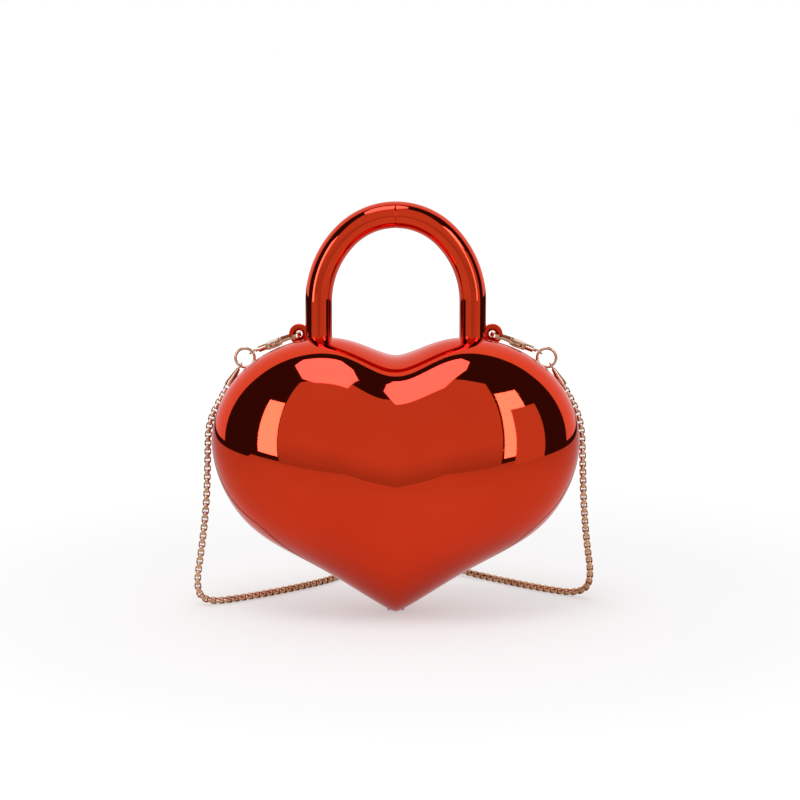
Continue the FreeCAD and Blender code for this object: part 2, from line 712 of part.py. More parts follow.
def placed(shape, placement):
    """A copy of a shape, moved to its place."""
    moved = shape.copy()
    moved.Placement = placement.multiply(moved.Placement)
    return moved


def torus(radius, wire, centre, axis):
    """A closed ring of round wire."""
    return Part.makeTorus(radius, wire / 2, centre, axis)


def hardware(side, pitch, tilt):
    """Swivel eye, ring and end cap of one end of the strap, and where the chain starts."""
    frame = clasp_frame(side, pitch)
    along = frame.Rotation.multVec(Vector(1, 0, 0))
    eye_reach = size("clasp_tail") + size("eye_radius") + 2 * size("eye_wire")
    eye = frame.multVec(Vector(eye_reach, 0, 0))
    cap_way = Vector(side * math.sin(math.radians(tilt)), 0, -math.cos(math.radians(tilt)))
    middle_way = (along + cap_way).normalize()
    ring_centre = eye + middle_way * size("ring_radius")
    cap_eye = ring_centre + cap_way * size("ring_radius")
    ring = torus(size("ring_radius"), size("ring_wire"), ring_centre, Vector(0, 1, 0))
    side_way = middle_way.cross(Vector(0, 1, 0))
    stem_start = size("clasp_tail") * 5 / 6 + 0.3
    stem = Part.makeCylinder(size("stem_diameter") / 2, eye_reach - size("eye_radius") - stem_start,
                             frame.multVec(Vector(stem_start, 0, 0)), along)
    swivel = torus(size("eye_radius"), size("eye_wire"), eye, side_way).fuse(stem)
    cap_loop = torus(size("eye_radius"), size("eye_wire"), cap_eye, cap_way.cross(Vector(0, 1, 0)))
    bell_start = cap_eye + cap_way * size("eye_radius")
    bell_length = size("cap_length") - size("eye_radius")
    taper = bell_length * size("cap_taper")
    bell = Part.makeCone(size("cap_neck") / 2, size("cap_mouth") / 2, taper, bell_start, cap_way)
    sleeve_start = bell_start + cap_way * taper
    sleeve = Part.makeCylinder(size("cap_mouth") / 2, bell_length - taper, sleeve_start, cap_way)
    cap = cap_loop.multiFuse([bell, sleeve]).removeSplitter()
    chain_start = bell_start + cap_way * bell_length
    return swivel, ring, cap, [chain_start, chain_start + cap_way * CHAIN_FIRST_RUN]


def ring_room(pitch, tilt):
    """How far the right clasp, swivel eye and ring stay off the shell."""
    hanging = [placed(hook_shape, clasp_frame(1, pitch)), *hardware(1, pitch, tilt)[:2]]
    return min(piece.distToShape(whole_body)[0] for piece in hanging)


def cap_room(pitch, tilt):
    """How far the right end cap stays off the shell."""
    return hardware(1, pitch, tilt)[2].distToShape(whole_body)[0]


def hang_angle(room, tight, loose):
    """The angle nearest the tight one at which a hanging piece keeps its gap to the shell."""
    for step in range(11):
        middle = (tight + loose) / 2
        if room(middle) < size("hang_gap"):
            tight = middle
        else:
            loose = middle
    return loose


whole_body = Part.Compound([solid_dome(0.0, facing * size("seam_gap") / 2, facing) for facing in (1, -1)])
hook_shape = clasp_hook()
clasp_pitch, cap_tilt = 20.0, 33.0
for step in range(2):
    clasp_pitch = hang_angle(lambda angle: ring_room(angle, cap_tilt), 60.0, 0.0)
    cap_tilt = hang_angle(lambda angle: cap_room(clasp_pitch, angle), 0.0, 80.0)
print("clasps hang at", round(clasp_pitch, 2), "and caps at", round(cap_tilt, 2))
hook_gap = placed(hook_shape, clasp_frame(1, clasp_pitch)).distToShape(whole_body)[0]
print("hook stays", round(hook_gap, 2), "off the shell")

chain_starts = {}
for label, side in SIDES.items():
    frame = clasp_frame(side, clasp_pitch)
    keep(f"{label}_clasp_hook", feature(f"{label}_clasp_hook", placed(hook_shape, frame)))
    keep(f"{label}_clasp_lever", feature(f"{label}_clasp_lever", placed(clasp_lever(), frame)))
    keep(f"{label}_clasp_rivet", feature(f"{label}_clasp_rivet", placed(clasp_rivet(), frame)))
    swivel, ring, cap, chain_starts[label] = hardware(side, clasp_pitch, cap_tilt)
    keep(f"{label}_swivel_eye", feature(f"{label}_swivel_eye", swivel))
    keep(f"{label}_ring", feature(f"{label}_ring", ring))
    keep(f"{label}_end_cap", feature(f"{label}_end_cap", cap))
    pivot = TO_ORIGIN.multVec(frame.multVec(Vector(size("lever_pivot"), -size("lever_pivot_side"), 0)))
    axis = frame.Rotation.multVec(Vector(0, 0, -1))
    print(label, "lever pivot", [round(c, 3) for c in pivot], "opens about", [round(c, 4) for c in axis])


# Chain

def tube_on(edges):
    """A round chain-sized tube along a smooth path."""
    path = Part.Wire(edges)
    start = edges[0].valueAt(edges[0].FirstParameter)
    heading = edges[0].tangentAt(edges[0].FirstParameter)
    ring = Part.Wire([Part.makeCircle(size("chain_diameter") / 2, start, heading)])
    solid = path.makePipeShell([ring], True, False)
    section = math.pi * size("chain_diameter") ** 2 / 4
    share = solid.Volume / (section * path.Length)
    print("tube length", round(path.Length, 1), "volume share", round(share, 4))
    return solid


def rounded_route(points):
    """Straight runs joined by the largest tangent arcs that fit."""
    edges, start, radii = [], points[0], []
    for before, corner, after in zip(points, points[1:], points[2:]):
        back, on = (before - corner).normalize(), (after - corner).normalize()
        half_turn = (math.pi - back.getAngle(on)) / 2
        trim = 0.45 * min((before - corner).Length, (after - corner).Length)
        radius = trim / math.tan(half_turn)
        radii.append(round(radius, 1))
        middle = (back + on).normalize()
        centre = corner + middle * (radius / math.cos(half_turn))
        first, last = corner + back * trim, corner + on * trim
        edges.append(Part.LineSegment(start, first).toShape())
        edges.append(Part.Arc(first, centre - middle * radius, last).toShape())
        start = last
    edges.append(Part.LineSegment(start, points[-1]).toShape())
    print("bend radii", radii)
    return edges


def biarc(start, heading, end, leaving):
    """Two tangent arcs from one point and heading to another."""
    span, sum_way = end - start, heading + leaving
    bend = 2 * (1 - heading.dot(leaving))
    reach = (math.sqrt(span.dot(sum_way) ** 2 + bend * span.dot(span)) - span.dot(sum_way)) / bend
    first, last = start + heading * reach, end - leaving * reach
    joint = (first + last) * 0.5
    way = (last - first).normalize()
    return [arc_from(start, heading, joint), arc_from(joint, way, end)]


def arc_from(start, heading, end):
    """The arc that leaves a point along a heading and reaches another."""
    chord = end - start
    normal = (chord - heading * chord.dot(heading)).normalize()
    radius = chord.dot(chord) / (2 * chord.dot(normal))
    centre = start + normal * radius
    middle = centre + ((start + end) * 0.5 - centre).normalize() * radius
    return Part.Arc(start, middle, end).toShape()


def coil_height(layer):
    """Height of the chain's middle in the lower or upper layer of the coil."""
    lowest = floor + size("tie_thickness") + size("tie_clearance") + size("chain_diameter") / 2
    return lowest + layer * size("coil_spacing")


def coil_point(turn):
    """The put-away chain spirals in on the floor, climbs where it reverses, and spirals out on top."""
    half = size("coil_turns") / 2
    radius = size("coil_radius") - size("coil_spacing") * (half - abs(turn - half))
    climb = min(max((turn - half + 0.25) / 0.5, 0), 1)
    rise = climb * climb * (3 - 2 * climb)
    angle = math.pi - 2 * math.pi * turn
    back = size("coil_distance") + radius * math.sin(angle)
    return Vector(radius * math.cos(angle), back, coil_height(rise))


def coil_heading(turn):
    """Direction of the coil, level and square to its straight ends at both ends."""
    if turn in (0, size("coil_turns")):
        return Vector(0, 1 if turn == 0 else -1, 0)
    step = 0.001
    return (coil_point(turn + step) - coil_point(turn - step)).normalize()


def coil_edges():
    """Quarter turns as pairs of arcs, with a straight end each side."""
    quarters = round(size("coil_turns") * 4)
    turns = [size("coil_turns") * i / quarters for i in range(quarters + 1)]
    edges = []
    for here, there in zip(turns, turns[1:]):
        edges += biarc(coil_point(here), coil_heading(here), coil_point(there), coil_heading(there))
    first, last = coil_point(0), coil_point(size("coil_turns"))
    straight = Vector(0, size("coil_straight"), 0)
    return [Part.LineSegment(first - straight, first).toShape()] + edges + [
        Part.LineSegment(last, last - straight).toShape()]


def least_gap(edges):
    """Smallest gap between neighbouring turns, measured on points along the path."""
    path = Part.Wire(edges)
    points = path.discretize(Number=900)
    step = path.Length / 899
    skip = int(6 * size("chain_diameter") / step)
    nearest = min((a - b).Length for i, a in enumerate(points) for b in points[i + skip:])
    return nearest - size("chain_diameter")


coil_path = coil_edges()
print("least gap in the coil", round(least_gap(coil_path), 2))
keep("chain_coil", feature("chain_coil", tube_on(coil_path)))
straight = Vector(0, size("coil_straight"), 0)
lowest = floor + size("chain_diameter") / 2
for label, fall, lay, turn in (("left", LEFT_FALL, LEFT_LAY, 0),
                               ("right", RIGHT_FALL, RIGHT_LAY, size("coil_turns"))):
    end = coil_point(turn) - straight
    points = list(chain_starts[label])
    for out, y, share in fall:
        points.append(Vector(SIDES[label] * (size("half_width") + out), y, share * size("lobe_height")))
    points += [Vector(x, y, lowest + rise) for x, y, rise in lay] + [end - straight * 3, end]
    print(label, "chain route", [[round(c, 2) for c in point] for point in points])
    keep(f"chain_{label}_fall", feature(f"chain_{label}_fall", tube_on(rounded_route(points))))

tie_outer = doc.addObject("Part::Box", "tie_outer")
tie_inner = doc.addObject("Part::Box", "tie_inner")
reach = "(sizes.coil_turns / 2 * sizes.coil_spacing)"
room = "(sizes.chain_diameter / 2 + sizes.tie_clearance + 0.25 * sizes.coil_spacing / 4.15)"
low_y = f"(sizes.coil_distance + sizes.coil_radius - {reach} - {room})"
long_y = f"({reach} + 2 * {room})"
tall = "(sizes.chain_diameter + sizes.coil_spacing + 2 * sizes.tie_clearance)"
FLOOR = "sizes.floor_height"
bind(tie_outer, Length="sizes.tie_width", Width=f"{long_y} + 2 * sizes.tie_thickness",
     Height=f"{tall} + 2 * sizes.tie_thickness")
place(tie_outer, "-sizes.tie_width / 2", f"{low_y} - sizes.tie_thickness", FLOOR)
bind(tie_inner, Length="sizes.tie_width", Width=long_y, Height=tall)
place(tie_inner, "-sizes.tie_width / 2", low_y, f"{FLOOR} + sizes.tie_thickness")
keep("chain_tie", cut("chain_tie", tie_outer, [tie_inner]))

# Check every object, then write one file per piece
doc.recompute()
for obj in doc.Objects:
    if "Invalid" in obj.State or "Error" in obj.State:
        raise RuntimeError(f"{obj.Label} failed: {obj.State}")
os.makedirs("parts", exist_ok=True)
for name, obj in pieces.items():
    shape = obj.Shape
    if shape.isNull() or not shape.isValid():
        raise RuntimeError(f"{name} has no valid shape")
    shape.exportStep(f"parts/{name}.step")
    box = shape.BoundBox
    print(name, len(shape.Solids), "solids", round(shape.Volume, 1), "mm3",
          [round(c, 1) for c in (box.XMin, box.XMax, box.YMin, box.YMax, box.ZMin, box.ZMax)])
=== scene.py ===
# %% [markdown]
# # A heart shaped purse in mirror-bright red
#
# The purse is two moulded half shells with a tube handle, and a gold chain clips to lugs beside the
# handle. The imported solids are loaded first and stay where they are: every piece made here is
# fitted to them, in metres, in the same frame.

# %% Load the solids
import json
import math

import bmesh
import bpy
import numpy as np
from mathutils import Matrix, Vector
from mathutils.bvhtree import BVHTree


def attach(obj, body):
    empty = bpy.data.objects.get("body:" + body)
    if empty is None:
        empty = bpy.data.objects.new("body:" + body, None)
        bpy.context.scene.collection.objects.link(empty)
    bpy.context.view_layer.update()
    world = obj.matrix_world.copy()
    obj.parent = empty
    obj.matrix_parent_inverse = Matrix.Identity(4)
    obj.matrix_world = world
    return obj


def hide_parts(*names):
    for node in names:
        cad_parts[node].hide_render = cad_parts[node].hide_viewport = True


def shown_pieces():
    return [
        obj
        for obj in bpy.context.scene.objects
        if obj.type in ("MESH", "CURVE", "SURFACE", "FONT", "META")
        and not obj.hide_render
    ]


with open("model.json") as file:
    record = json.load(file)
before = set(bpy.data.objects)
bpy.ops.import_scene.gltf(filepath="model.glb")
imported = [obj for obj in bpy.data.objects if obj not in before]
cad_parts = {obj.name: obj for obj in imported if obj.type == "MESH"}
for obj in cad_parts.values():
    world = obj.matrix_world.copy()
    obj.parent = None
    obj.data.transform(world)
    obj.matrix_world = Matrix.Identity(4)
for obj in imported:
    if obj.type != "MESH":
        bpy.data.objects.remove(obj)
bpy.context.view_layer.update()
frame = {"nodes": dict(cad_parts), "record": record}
MM = 0.001
GRIP_ABOVE_TIP = 200.5
SEAM_IN_FRONT = 7.6

# %% [markdown]
# The shells are easiest to think of from their tip and from the seam between them, in millimetres.
# One small function turns such a point into the frame's metres. A second one puts a new object into
# the scene.


# %% From the tip and the seam to the frame
def at(x, y, height):
    """A point given from the seam and above the tip, in millimetres, as a point of the frame."""
    return Vector((x * MM, (y - SEAM_IN_FRONT) * MM, (height - GRIP_ABOVE_TIP) * MM))


def new_object(name, data):
    """An object in the scene that shows some data."""
    made = bpy.data.objects.new(name, data)
    bpy.context.scene.collection.objects.link(made)
    return made


FLOOR_HEIGHT = 0.0
print("tip", at(0, 0, 0), "floor", at(0, 0, FLOOR_HEIGHT).z)

# %% [markdown]
# The camera stands a little above the purse, far enough back that the heart hardly tapers. A long
# lens at 1.4 m gives the flat, catalogue look.

# %% Camera
CAMERA_DISTANCE = 1.4
CAMERA_RISE = math.radians(9.0)
VIEW_WIDTH = 0.4154
AIM = at(2.2, 0, 111.8)

camera = new_object("camera", bpy.data.cameras.new("camera"))
camera.data.lens = camera.data.sensor_width * CAMERA_DISTANCE / VIEW_WIDTH
back = Vector((0, -math.cos(CAMERA_RISE), math.sin(CAMERA_RISE)))
camera.location = AIM + back * CAMERA_DISTANCE
camera.rotation_euler = (-back).to_track_quat("-Z", "Y").to_euler()
bpy.context.scene.camera = camera
print("lens", round(camera.data.lens, 1), "mm")

# %% [markdown]
# A mesh is made from points and faces in one helper: it shades the mesh smooth and keeps edges sharper
# than a chosen angle crisp. A second reads a plain mesh back from a curve or a modifier. A third turns
# rows of points into faces, because nearly every piece here is a skin swept through rows.


# %% Mesh helpers
def mesh_piece(name, points, faces, crisp=40.0):
    """A smooth-shaded object from points in metres, with its sharp edges kept."""
    mesh = bpy.data.meshes.new(name)
    mesh.from_pydata([tuple(p) for p in points], [], faces)
    mesh.validate()
    mesh.shade_smooth()
    mesh.set_sharp_from_angle(angle=math.radians(crisp))
    return new_object(name, mesh)


def finished_mesh(piece):
    """A plain mesh of a curve, or of a piece with its modifiers done."""
    bpy.context.view_layer.update()
    return bpy.data.meshes.new_from_object(piece.evaluated_get(bpy.context.evaluated_depsgraph_get()))


def skin(rows, size, start=0, closed=False):
    """Faces between neighbouring rows, each a ring of the same number of points."""
    faces = []
    for r in range(rows if closed else rows - 1):
        for k in range(size):
            a, b = r * size + k, r * size + (k + 1) % size
            c, d = (r + 1) % rows * size + (k + 1) % size, (r + 1) % rows * size + k
            faces.append(tuple(start + i for i in (a, b, c, d)))
    return faces


def put(piece, body, slot, *nodes):
    """Let a piece ride a body and stand for its solids; its slot is not used."""
    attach(piece, body)
    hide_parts(*nodes)


print("mesh helpers ready")

# %% [markdown]
# The chain runs from one end cap to the other: down at each side, along the floor and in behind the
# purse. Its middle, which the purse hides, is wound into a small coil there. Listed points lead
# the falls and the runs on the floor, and a loop works out the turns of the coil.

# %% Chain route
HALF_WIDTH, LOBE_HEIGHT = 94.9, 144.3
LEFT_FALL = ((3.3, 9.8, 0.672), (3.7, 9.6, 0.562), (4.6, 9.4, 0.38), (7.6, 9.2, 0.208),
             (10.2, 9.2, 0.098), (8.9, 9.4, 0.036))
RIGHT_FALL = ((2.4, 10.2, 0.672), (3.2, 11.2, 0.562), (4.0, 13.4, 0.39), (6.2, 17.0, 0.226),
              (9.0, 21.6, 0.106), (7.6, 26.2, 0.04))
LEFT_LAY = ((-97.0, 12.0, 0.0), (-84.0, 19.5, 0.0), (-66.0, 34.0, 0.0), (-48.0, 51.0, 0.0),
            (-34.5, 66.5, 0.0), (-27.2, 83.0, 0.25))
RIGHT_LAY = ((95.0, 32.0, 0.0), (82.0, 41.0, 0.0), (66.0, 55.0, 0.0), (50.5, 70.5, 0.0),
             (38.0, 80.5, 0.75), (28.6, 89.0, 3.55))
CHAIN_DIAMETER = 3.7
CHAIN_START = ((87.48, 9.8, 118.01), (93.18, 9.8, 108.6))
COIL_RADIUS, COIL_SPACING, COIL_TURNS, COIL_DISTANCE = 24.5, 4.15, 4.5, 112.0
TIE_THICKNESS, TIE_CLEARANCE = 0.6, 0.15
COIL_LOW = FLOOR_HEIGHT + TIE_THICKNESS + TIE_CLEARANCE + CHAIN_DIAMETER / 2
COIL_STRAIGHT = 3.7
POINTS_PER_TURN = 16


def coil_point(turn):
    """In along the floor, up a layer where the spiral turns back, and out again on top."""
    half = COIL_TURNS / 2
    radius = COIL_RADIUS - COIL_SPACING * (half - abs(turn - half))
    climb = min(max((turn - half + 0.25) / 0.5, 0), 1)
    rise = climb * climb * (3 - 2 * climb)
    angle = math.pi - 2 * math.pi * turn
    return (radius * math.cos(angle), COIL_DISTANCE + radius * math.sin(angle),
            COIL_LOW + rise * COIL_SPACING)


def chain_end(side, fall, lay, coil_end):
    """One stretch of chain, from its end cap down to the floor and back to the coil."""
    leaving = [(side * x, y, height) for x, y, height in CHAIN_START]
    hanging = [(side * (HALF_WIDTH + out), y, share * LOBE_HEIGHT) for out, y, share in fall]
    lying = [(x, y, FLOOR_HEIGHT + CHAIN_DIAMETER / 2 + rise) for x, y, rise in lay]
    x, y, height = coil_end
    meeting = [(x, y - 4 * COIL_STRAIGHT, height), (x, y - COIL_STRAIGHT, height)]
    return leaving + hanging + lying + meeting


steps = round(COIL_TURNS * POINTS_PER_TURN)
coil = [coil_point(COIL_TURNS * i / steps) for i in range(steps + 1)]
route = chain_end(-1, LEFT_FALL, LEFT_LAY, coil[0]) + coil
route += chain_end(1, RIGHT_FALL, RIGHT_LAY, coil[-1])[::-1]
print("route points", len(route))

# %% [markdown]
# A line straight from point to point would look like bent wire. The points steer one smooth spline
# instead, so the chain hangs and lies in easy curves.


# %% Chain line
def smooth_line(points):
    """A soft spline through the neighbourhood of some points, read back as a fine line of points."""
    curve = bpy.data.curves.new("route", "CURVE")
    curve.dimensions = "3D"
    spline = curve.splines.new("NURBS")
    spline.points.add(len(points) - 1)
    for point, place in zip(spline.points, points):
        point.co = (*at(*place), 1.0)
    spline.order_u = 3
    spline.use_endpoint_u = True
    spline.resolution_u = 12
    holder = new_object("route", curve)
    mesh = finished_mesh(holder)
    line = [v.co.copy() for v in mesh.vertices]
    bpy.data.objects.remove(holder)
    bpy.data.meshes.remove(mesh)
    return line


chain_line = smooth_line(route)
chain_span = sum((b - a).length for a, b in zip(chain_line, chain_line[1:]))
print("chain points", len(chain_line), "length", round(chain_span, 4))

# %% [markdown]
# This is a box chain: every link is a small square ring bent from flat band, turned a quarter from the
# one before it and hooked through it. Two links make one repeat of 4.5 mm. One could array a single
# link along a curve, but the links have to turn with the line; so each is a ring of short cross-sections
# with soft corners, worked out in its own place.

# %% One link
LINK_STEP = 2.26 * MM
LINK_REACH, BAND_THICKNESS, BAND_WIDTH, LINK_CORNER = 1.85, 0.72, 2.1, 0.95
CORNER_TURNS = (0, 30, 60, 90)
BAND_SECTION = ((1.0, 0.0), (0.80, 0.72), (0.0, 1.0), (-0.80, 0.72), (-1.0, 0.0), (-0.8, -0.72),
                (0.0, -1.0), (0.80, -0.72))


def soft_square(flat, upright, bend, turns):
    """A line round a square with soft corners: its points and the ways out from them."""
    ring = []
    for quarter in range(4):
        corner = math.radians(45 + 90 * quarter)
        middle = Vector((math.copysign(flat, math.cos(corner)), math.copysign(upright, math.sin(corner))))
        for turn in turns:
            angle = math.radians(90 * quarter + turn)
            outward = Vector((math.cos(angle), math.sin(angle)))
            ring.append((middle + outward * bend, outward))
    return ring


link_flat = LINK_REACH - LINK_CORNER
link_ring = soft_square(link_flat, link_flat, LINK_CORNER - BAND_THICKNESS / 2, CORNER_TURNS)
print("sections round a link", len(link_ring))

# %% [markdown]
# The frame that places the links is carried out from the coil without twisting, so the flats of
# neighbouring turns face each other there. Where the chain hangs, it has turned until every second link
# shows its flat to the front.


# %% Places of the links
def chain_frames(line, step):
    """Evenly spaced places on a line with two cross directions that turn as little as possible."""
    lengths = np.cumsum([0.0] + [(b - a).length for a, b in zip(line, line[1:])])
    count = int(lengths[-1] // step)
    marks = (np.arange(count) + 0.5) * lengths[-1] / count
    axes = [np.interp(marks, lengths, [p[i] for p in line]) for i in range(3)]
    places = [Vector(p) for p in zip(*axes)]
    ways = [(b - a).normalized() for a, b in zip([places[0]] + places[:-1], places[1:] + [places[-1]])]
    frames = [None] * count
    for order in (range(count // 2, count), range(count // 2, -1, -1)):
        up = Vector((0, 0, 1))
        for i in order:
            up = (up - ways[i] * up.dot(ways[i])).normalized()
            frames[i] = (places[i], ways[i], ways[i].cross(up), up)
    return frames


def face_front(frames, hanging=58, easing=22):
    """Turn the hanging links until every second one faces the front, easing into those that lie."""
    quarter = math.pi / 2
    count = hanging + easing
    for order in (range(count), range(len(frames) - 1, len(frames) - 1 - count, -1)):
        last = 0.0
        for n, i in enumerate(order):
            place, way, side_way, up = frames[i]
            front = Vector((0, -1, 0)) + way * way.y
            angle = math.atan2(front.dot(side_way), front.dot(up))
            angle -= quarter * round((angle - last) / quarter)
            last = angle
            roll = angle * min(1.0, (count - n) / easing)
            turned_up = up * math.cos(roll) + side_way * math.sin(roll)
            frames[i] = (place, way, way.cross(turned_up), turned_up)
    return frames


link_frames = face_front(chain_frames(chain_line, LINK_STEP))
print("links", len(link_frames))

# %% [markdown]
# Each link is now written out in its place, every second one turned a quarter. All of them are one mesh,
# which stands for the three solids of the chain.


# %% Chain
def chain_links(frames):
    """Every link of the chain as points and faces."""
    points, faces = [], []
    for index, (place, way, side_way, up) in enumerate(frames):
        across, axis = (side_way, up) if index % 2 else (up, side_way)
        start = len(points)
        for (along, out), (push_along, push_out) in link_ring:
            for thick, wide in BAND_SECTION:
                lift = thick * BAND_THICKNESS / 2
                spot = way * (along + push_along * lift) + across * (out + push_out * lift)
                points.append(place + (spot + axis * (wide * BAND_WIDTH / 2)) * MM)
        faces += skin(len(link_ring), len(BAND_SECTION), start, closed=True)
    return points, faces


chain = mesh_piece("gold_chain", *chain_links(link_frames), crisp=70.0)
put(chain, "case", "gold_chain", "chain_left_fall", "chain_coil", "chain_right_fall")
print(chain.name, len(chain.data.vertices), "points")

# %% [markdown]
# A soft band holds the put-away turns together. It is one closed strap that goes round the bundle with
# rounded corners and edges, and it belongs to the chain.

# %% Tie round the coil
TIE_WIDTH, TIE_BEND, TIE_SLACK = 5.0, 1.1, 0.25


def tie_points():
    """Rows round the bundle, each a rounded section of the strap."""
    reach = COIL_TURNS / 2 * COIL_SPACING
    room = CHAIN_DIAMETER / 2 + TIE_CLEARANCE + TIE_SLACK
    half_long = reach / 2 + room + TIE_THICKNESS / 2
    half_tall = (CHAIN_DIAMETER + COIL_SPACING + 2 * TIE_CLEARANCE + TIE_THICKNESS) / 2
    middle_y = COIL_DISTANCE + COIL_RADIUS - reach / 2
    middle_height = FLOOR_HEIGHT + TIE_THICKNESS / 2 + half_tall
    ring = soft_square(half_long - TIE_BEND, half_tall - TIE_BEND, TIE_BEND, range(0, 91, 15))
    points = []
    for (y, height), (push_y, push_up) in ring:
        for thick, wide in BAND_SECTION:
            lift = thick * TIE_THICKNESS / 2
            points.append(at(wide * TIE_WIDTH / 2, middle_y + y + lift * push_y,
                             middle_height + height + lift * push_up))
    return points


strap_points = tie_points()
strap_rows = len(strap_points) // len(BAND_SECTION)
tie = mesh_piece("tie_strap", strap_points, skin(strap_rows, len(BAND_SECTION), closed=True), crisp=70.0)
put(tie, "case", "tie", "chain_tie")
print("tie", len(strap_points), "points")

# %% [markdown]
# The shells are mirrors, and a mirror shows every flat facet. Subdividing the solids' facets would keep
# their ripples, so the surface that shapes the solids is worked out here again as a fine grid. It starts
# with the smooth outline at the seam: steering points from the cleft to the tip, drawn in by an even wall.

# %% Outline of the heart
CLEFT_HEIGHT, CLEFT_REACH, TIP_REACH = 135.2, 7.4, 3.7
HALF_DEPTH, WALL_RISE, WALL, SEAM_GAP = 46.0, 25.0, 2.2, 0.2
CROWN_HEIGHT, CROWN_HALF_WIDTH, CROWN_HALF_HEIGHT = 74.0, 60.0, 33.0
OUTLINE_SHAPE = ((0.2821, 1.0382), (0.8078, 0.954), (1.0934, 0.6565), (0.8644, 0.2945), (0.4257, 0.1836))
FLANK_ANGLE = math.radians(31.0)


def outline_poles(inset):
    """Steering points of the half outline, cleft to tip, drawn in by an even wall."""
    poles = [(0, CLEFT_HEIGHT), (CLEFT_REACH, CLEFT_HEIGHT)]
    poles += [(x * HALF_WIDTH, z * LOBE_HEIGHT) for x, z in OUTLINE_SHAPE]
    poles += [(TIP_REACH, 0), (0, 0)]
    poles = np.array(poles, float)
    ways = poles[3:-1] - poles[1:-3]
    ways /= np.linalg.norm(ways, axis=1)[:, None]
    poles[2:-2] += inset * np.stack([ways[:, 1], -ways[:, 0]], axis=1)
    poles[:2, 1] = CLEFT_HEIGHT - inset
    poles[-2:, 1] = inset / math.cos(FLANK_ANGLE)
    return poles


print("outline", outline_poles(0).round(1).tolist())

# %% [markdown]
# From the outline the surface is lifted straight off the seam and then drawn in to a soft crown. Cubic
# splines do both, round and up, and numpy evaluates a whole grid at once.


# %% Surface over the outline
def spline_weights(shares, count):
    """Weights of a smooth clamped spline's steering points, for shares of its length from 0 to 1."""
    spans = count - 3
    knots = np.concatenate([[0] * 3, np.arange(spans + 1), [spans] * 3]).astype(float)
    t = np.clip(np.asarray(shares) * spans, 0, spans - 1e-9)
    weights = [((knots[i] <= t) & (t < knots[i + 1])).astype(float) for i in range(len(knots) - 1)]
    for degree in (1, 2, 3):
        nxt = []
        for i in range(len(weights) - 1):
            left, right = knots[i + degree] - knots[i], knots[i + degree + 1] - knots[i + 1]
            part = (t - knots[i]) / left * weights[i] if left else 0
            rest = (knots[i + degree + 1] - t) / right * weights[i + 1] if right else 0
            nxt.append(part + rest)
        weights = nxt
    return np.stack(weights, axis=1)


def dome_rows(inset, facing, shares_round, shares_up):
    """Points of one quarter of the body as an array [up, round, xyz] in millimetres."""
    outline = outline_poles(inset)
    count = len(outline)
    spans = count - 3
    middle = np.array([sum(min(max(i + k - 3, 0), spans) for k in (1, 2, 3)) / 3 / spans
                       for i in range(count)])
    angle = math.pi * (0.5 - middle)
    level = np.sin(angle)
    level[1], level[-2] = 1.0, -1.0
    rim, depth = facing * SEAM_GAP / 2, facing * (HALF_DEPTH - inset)
    rise = rim + facing * (WALL_RISE - inset / 2)
    crown_x = (CROWN_HALF_WIDTH - inset / 2) * np.cos(angle)
    crown_z = CROWN_HEIGHT + (CROWN_HALF_HEIGHT - inset / 2) * level
    flat = np.ones(count)
    rows = [np.stack([outline[:, 0], rim * flat, outline[:, 1]], axis=1),
            np.stack([outline[:, 0], rise * flat, outline[:, 1]], axis=1),
            np.stack([crown_x, depth * flat, crown_z], axis=1),
            np.stack([0 * flat, depth * flat, CROWN_HEIGHT * flat], axis=1)]
    v = np.asarray(shares_up)
    up = np.stack([(1 - v) ** 3, 3 * v * (1 - v) ** 2, 3 * v ** 2 * (1 - v), v ** 3], axis=1)
    return np.einsum("vr,uc,rcx->vux", up, spline_weights(shares_round, count), np.array(rows))


print("crown of the front", dome_rows(0.0, -1, [0.5], [1.0])[0].round(1).tolist())

# %% [markdown]
# Rows of that grid run from the outer crown, over a small round at the rim, to the inner crown, so a
# half shell is one closed skin with a real wall. The lining uses the same function, drawn in further.

# %% Closed dome skins
SHARES_ROUND = np.linspace(0, 1, 121)
NEAR_CROWN, NEAR_RIM = 0.98, 0.02
RIM_ROUND, SHELL_START, SHELL_CRISP = 0.35, 0.010, 50.0


def rim_rows(facing, inset, thickness, edge, round_over):
    """Rows over an edge of even thickness at a level, rounded on both sides."""
    rows = []
    turns = [math.radians(turn) for turn in CORNER_TURNS]
    for wall, inward, order in ((inset, 1, turns), (inset + thickness, -1, turns[::-1])):
        for turn in order:
            drawn_in = wall + inward * round_over * (1 - math.cos(turn))
            row = dome_rows(drawn_in, facing, SHARES_ROUND, [0.0])[0]
            row[:, 1] = edge + facing * round_over * (1 - math.sin(turn))
            rows.append(row)
    return rows


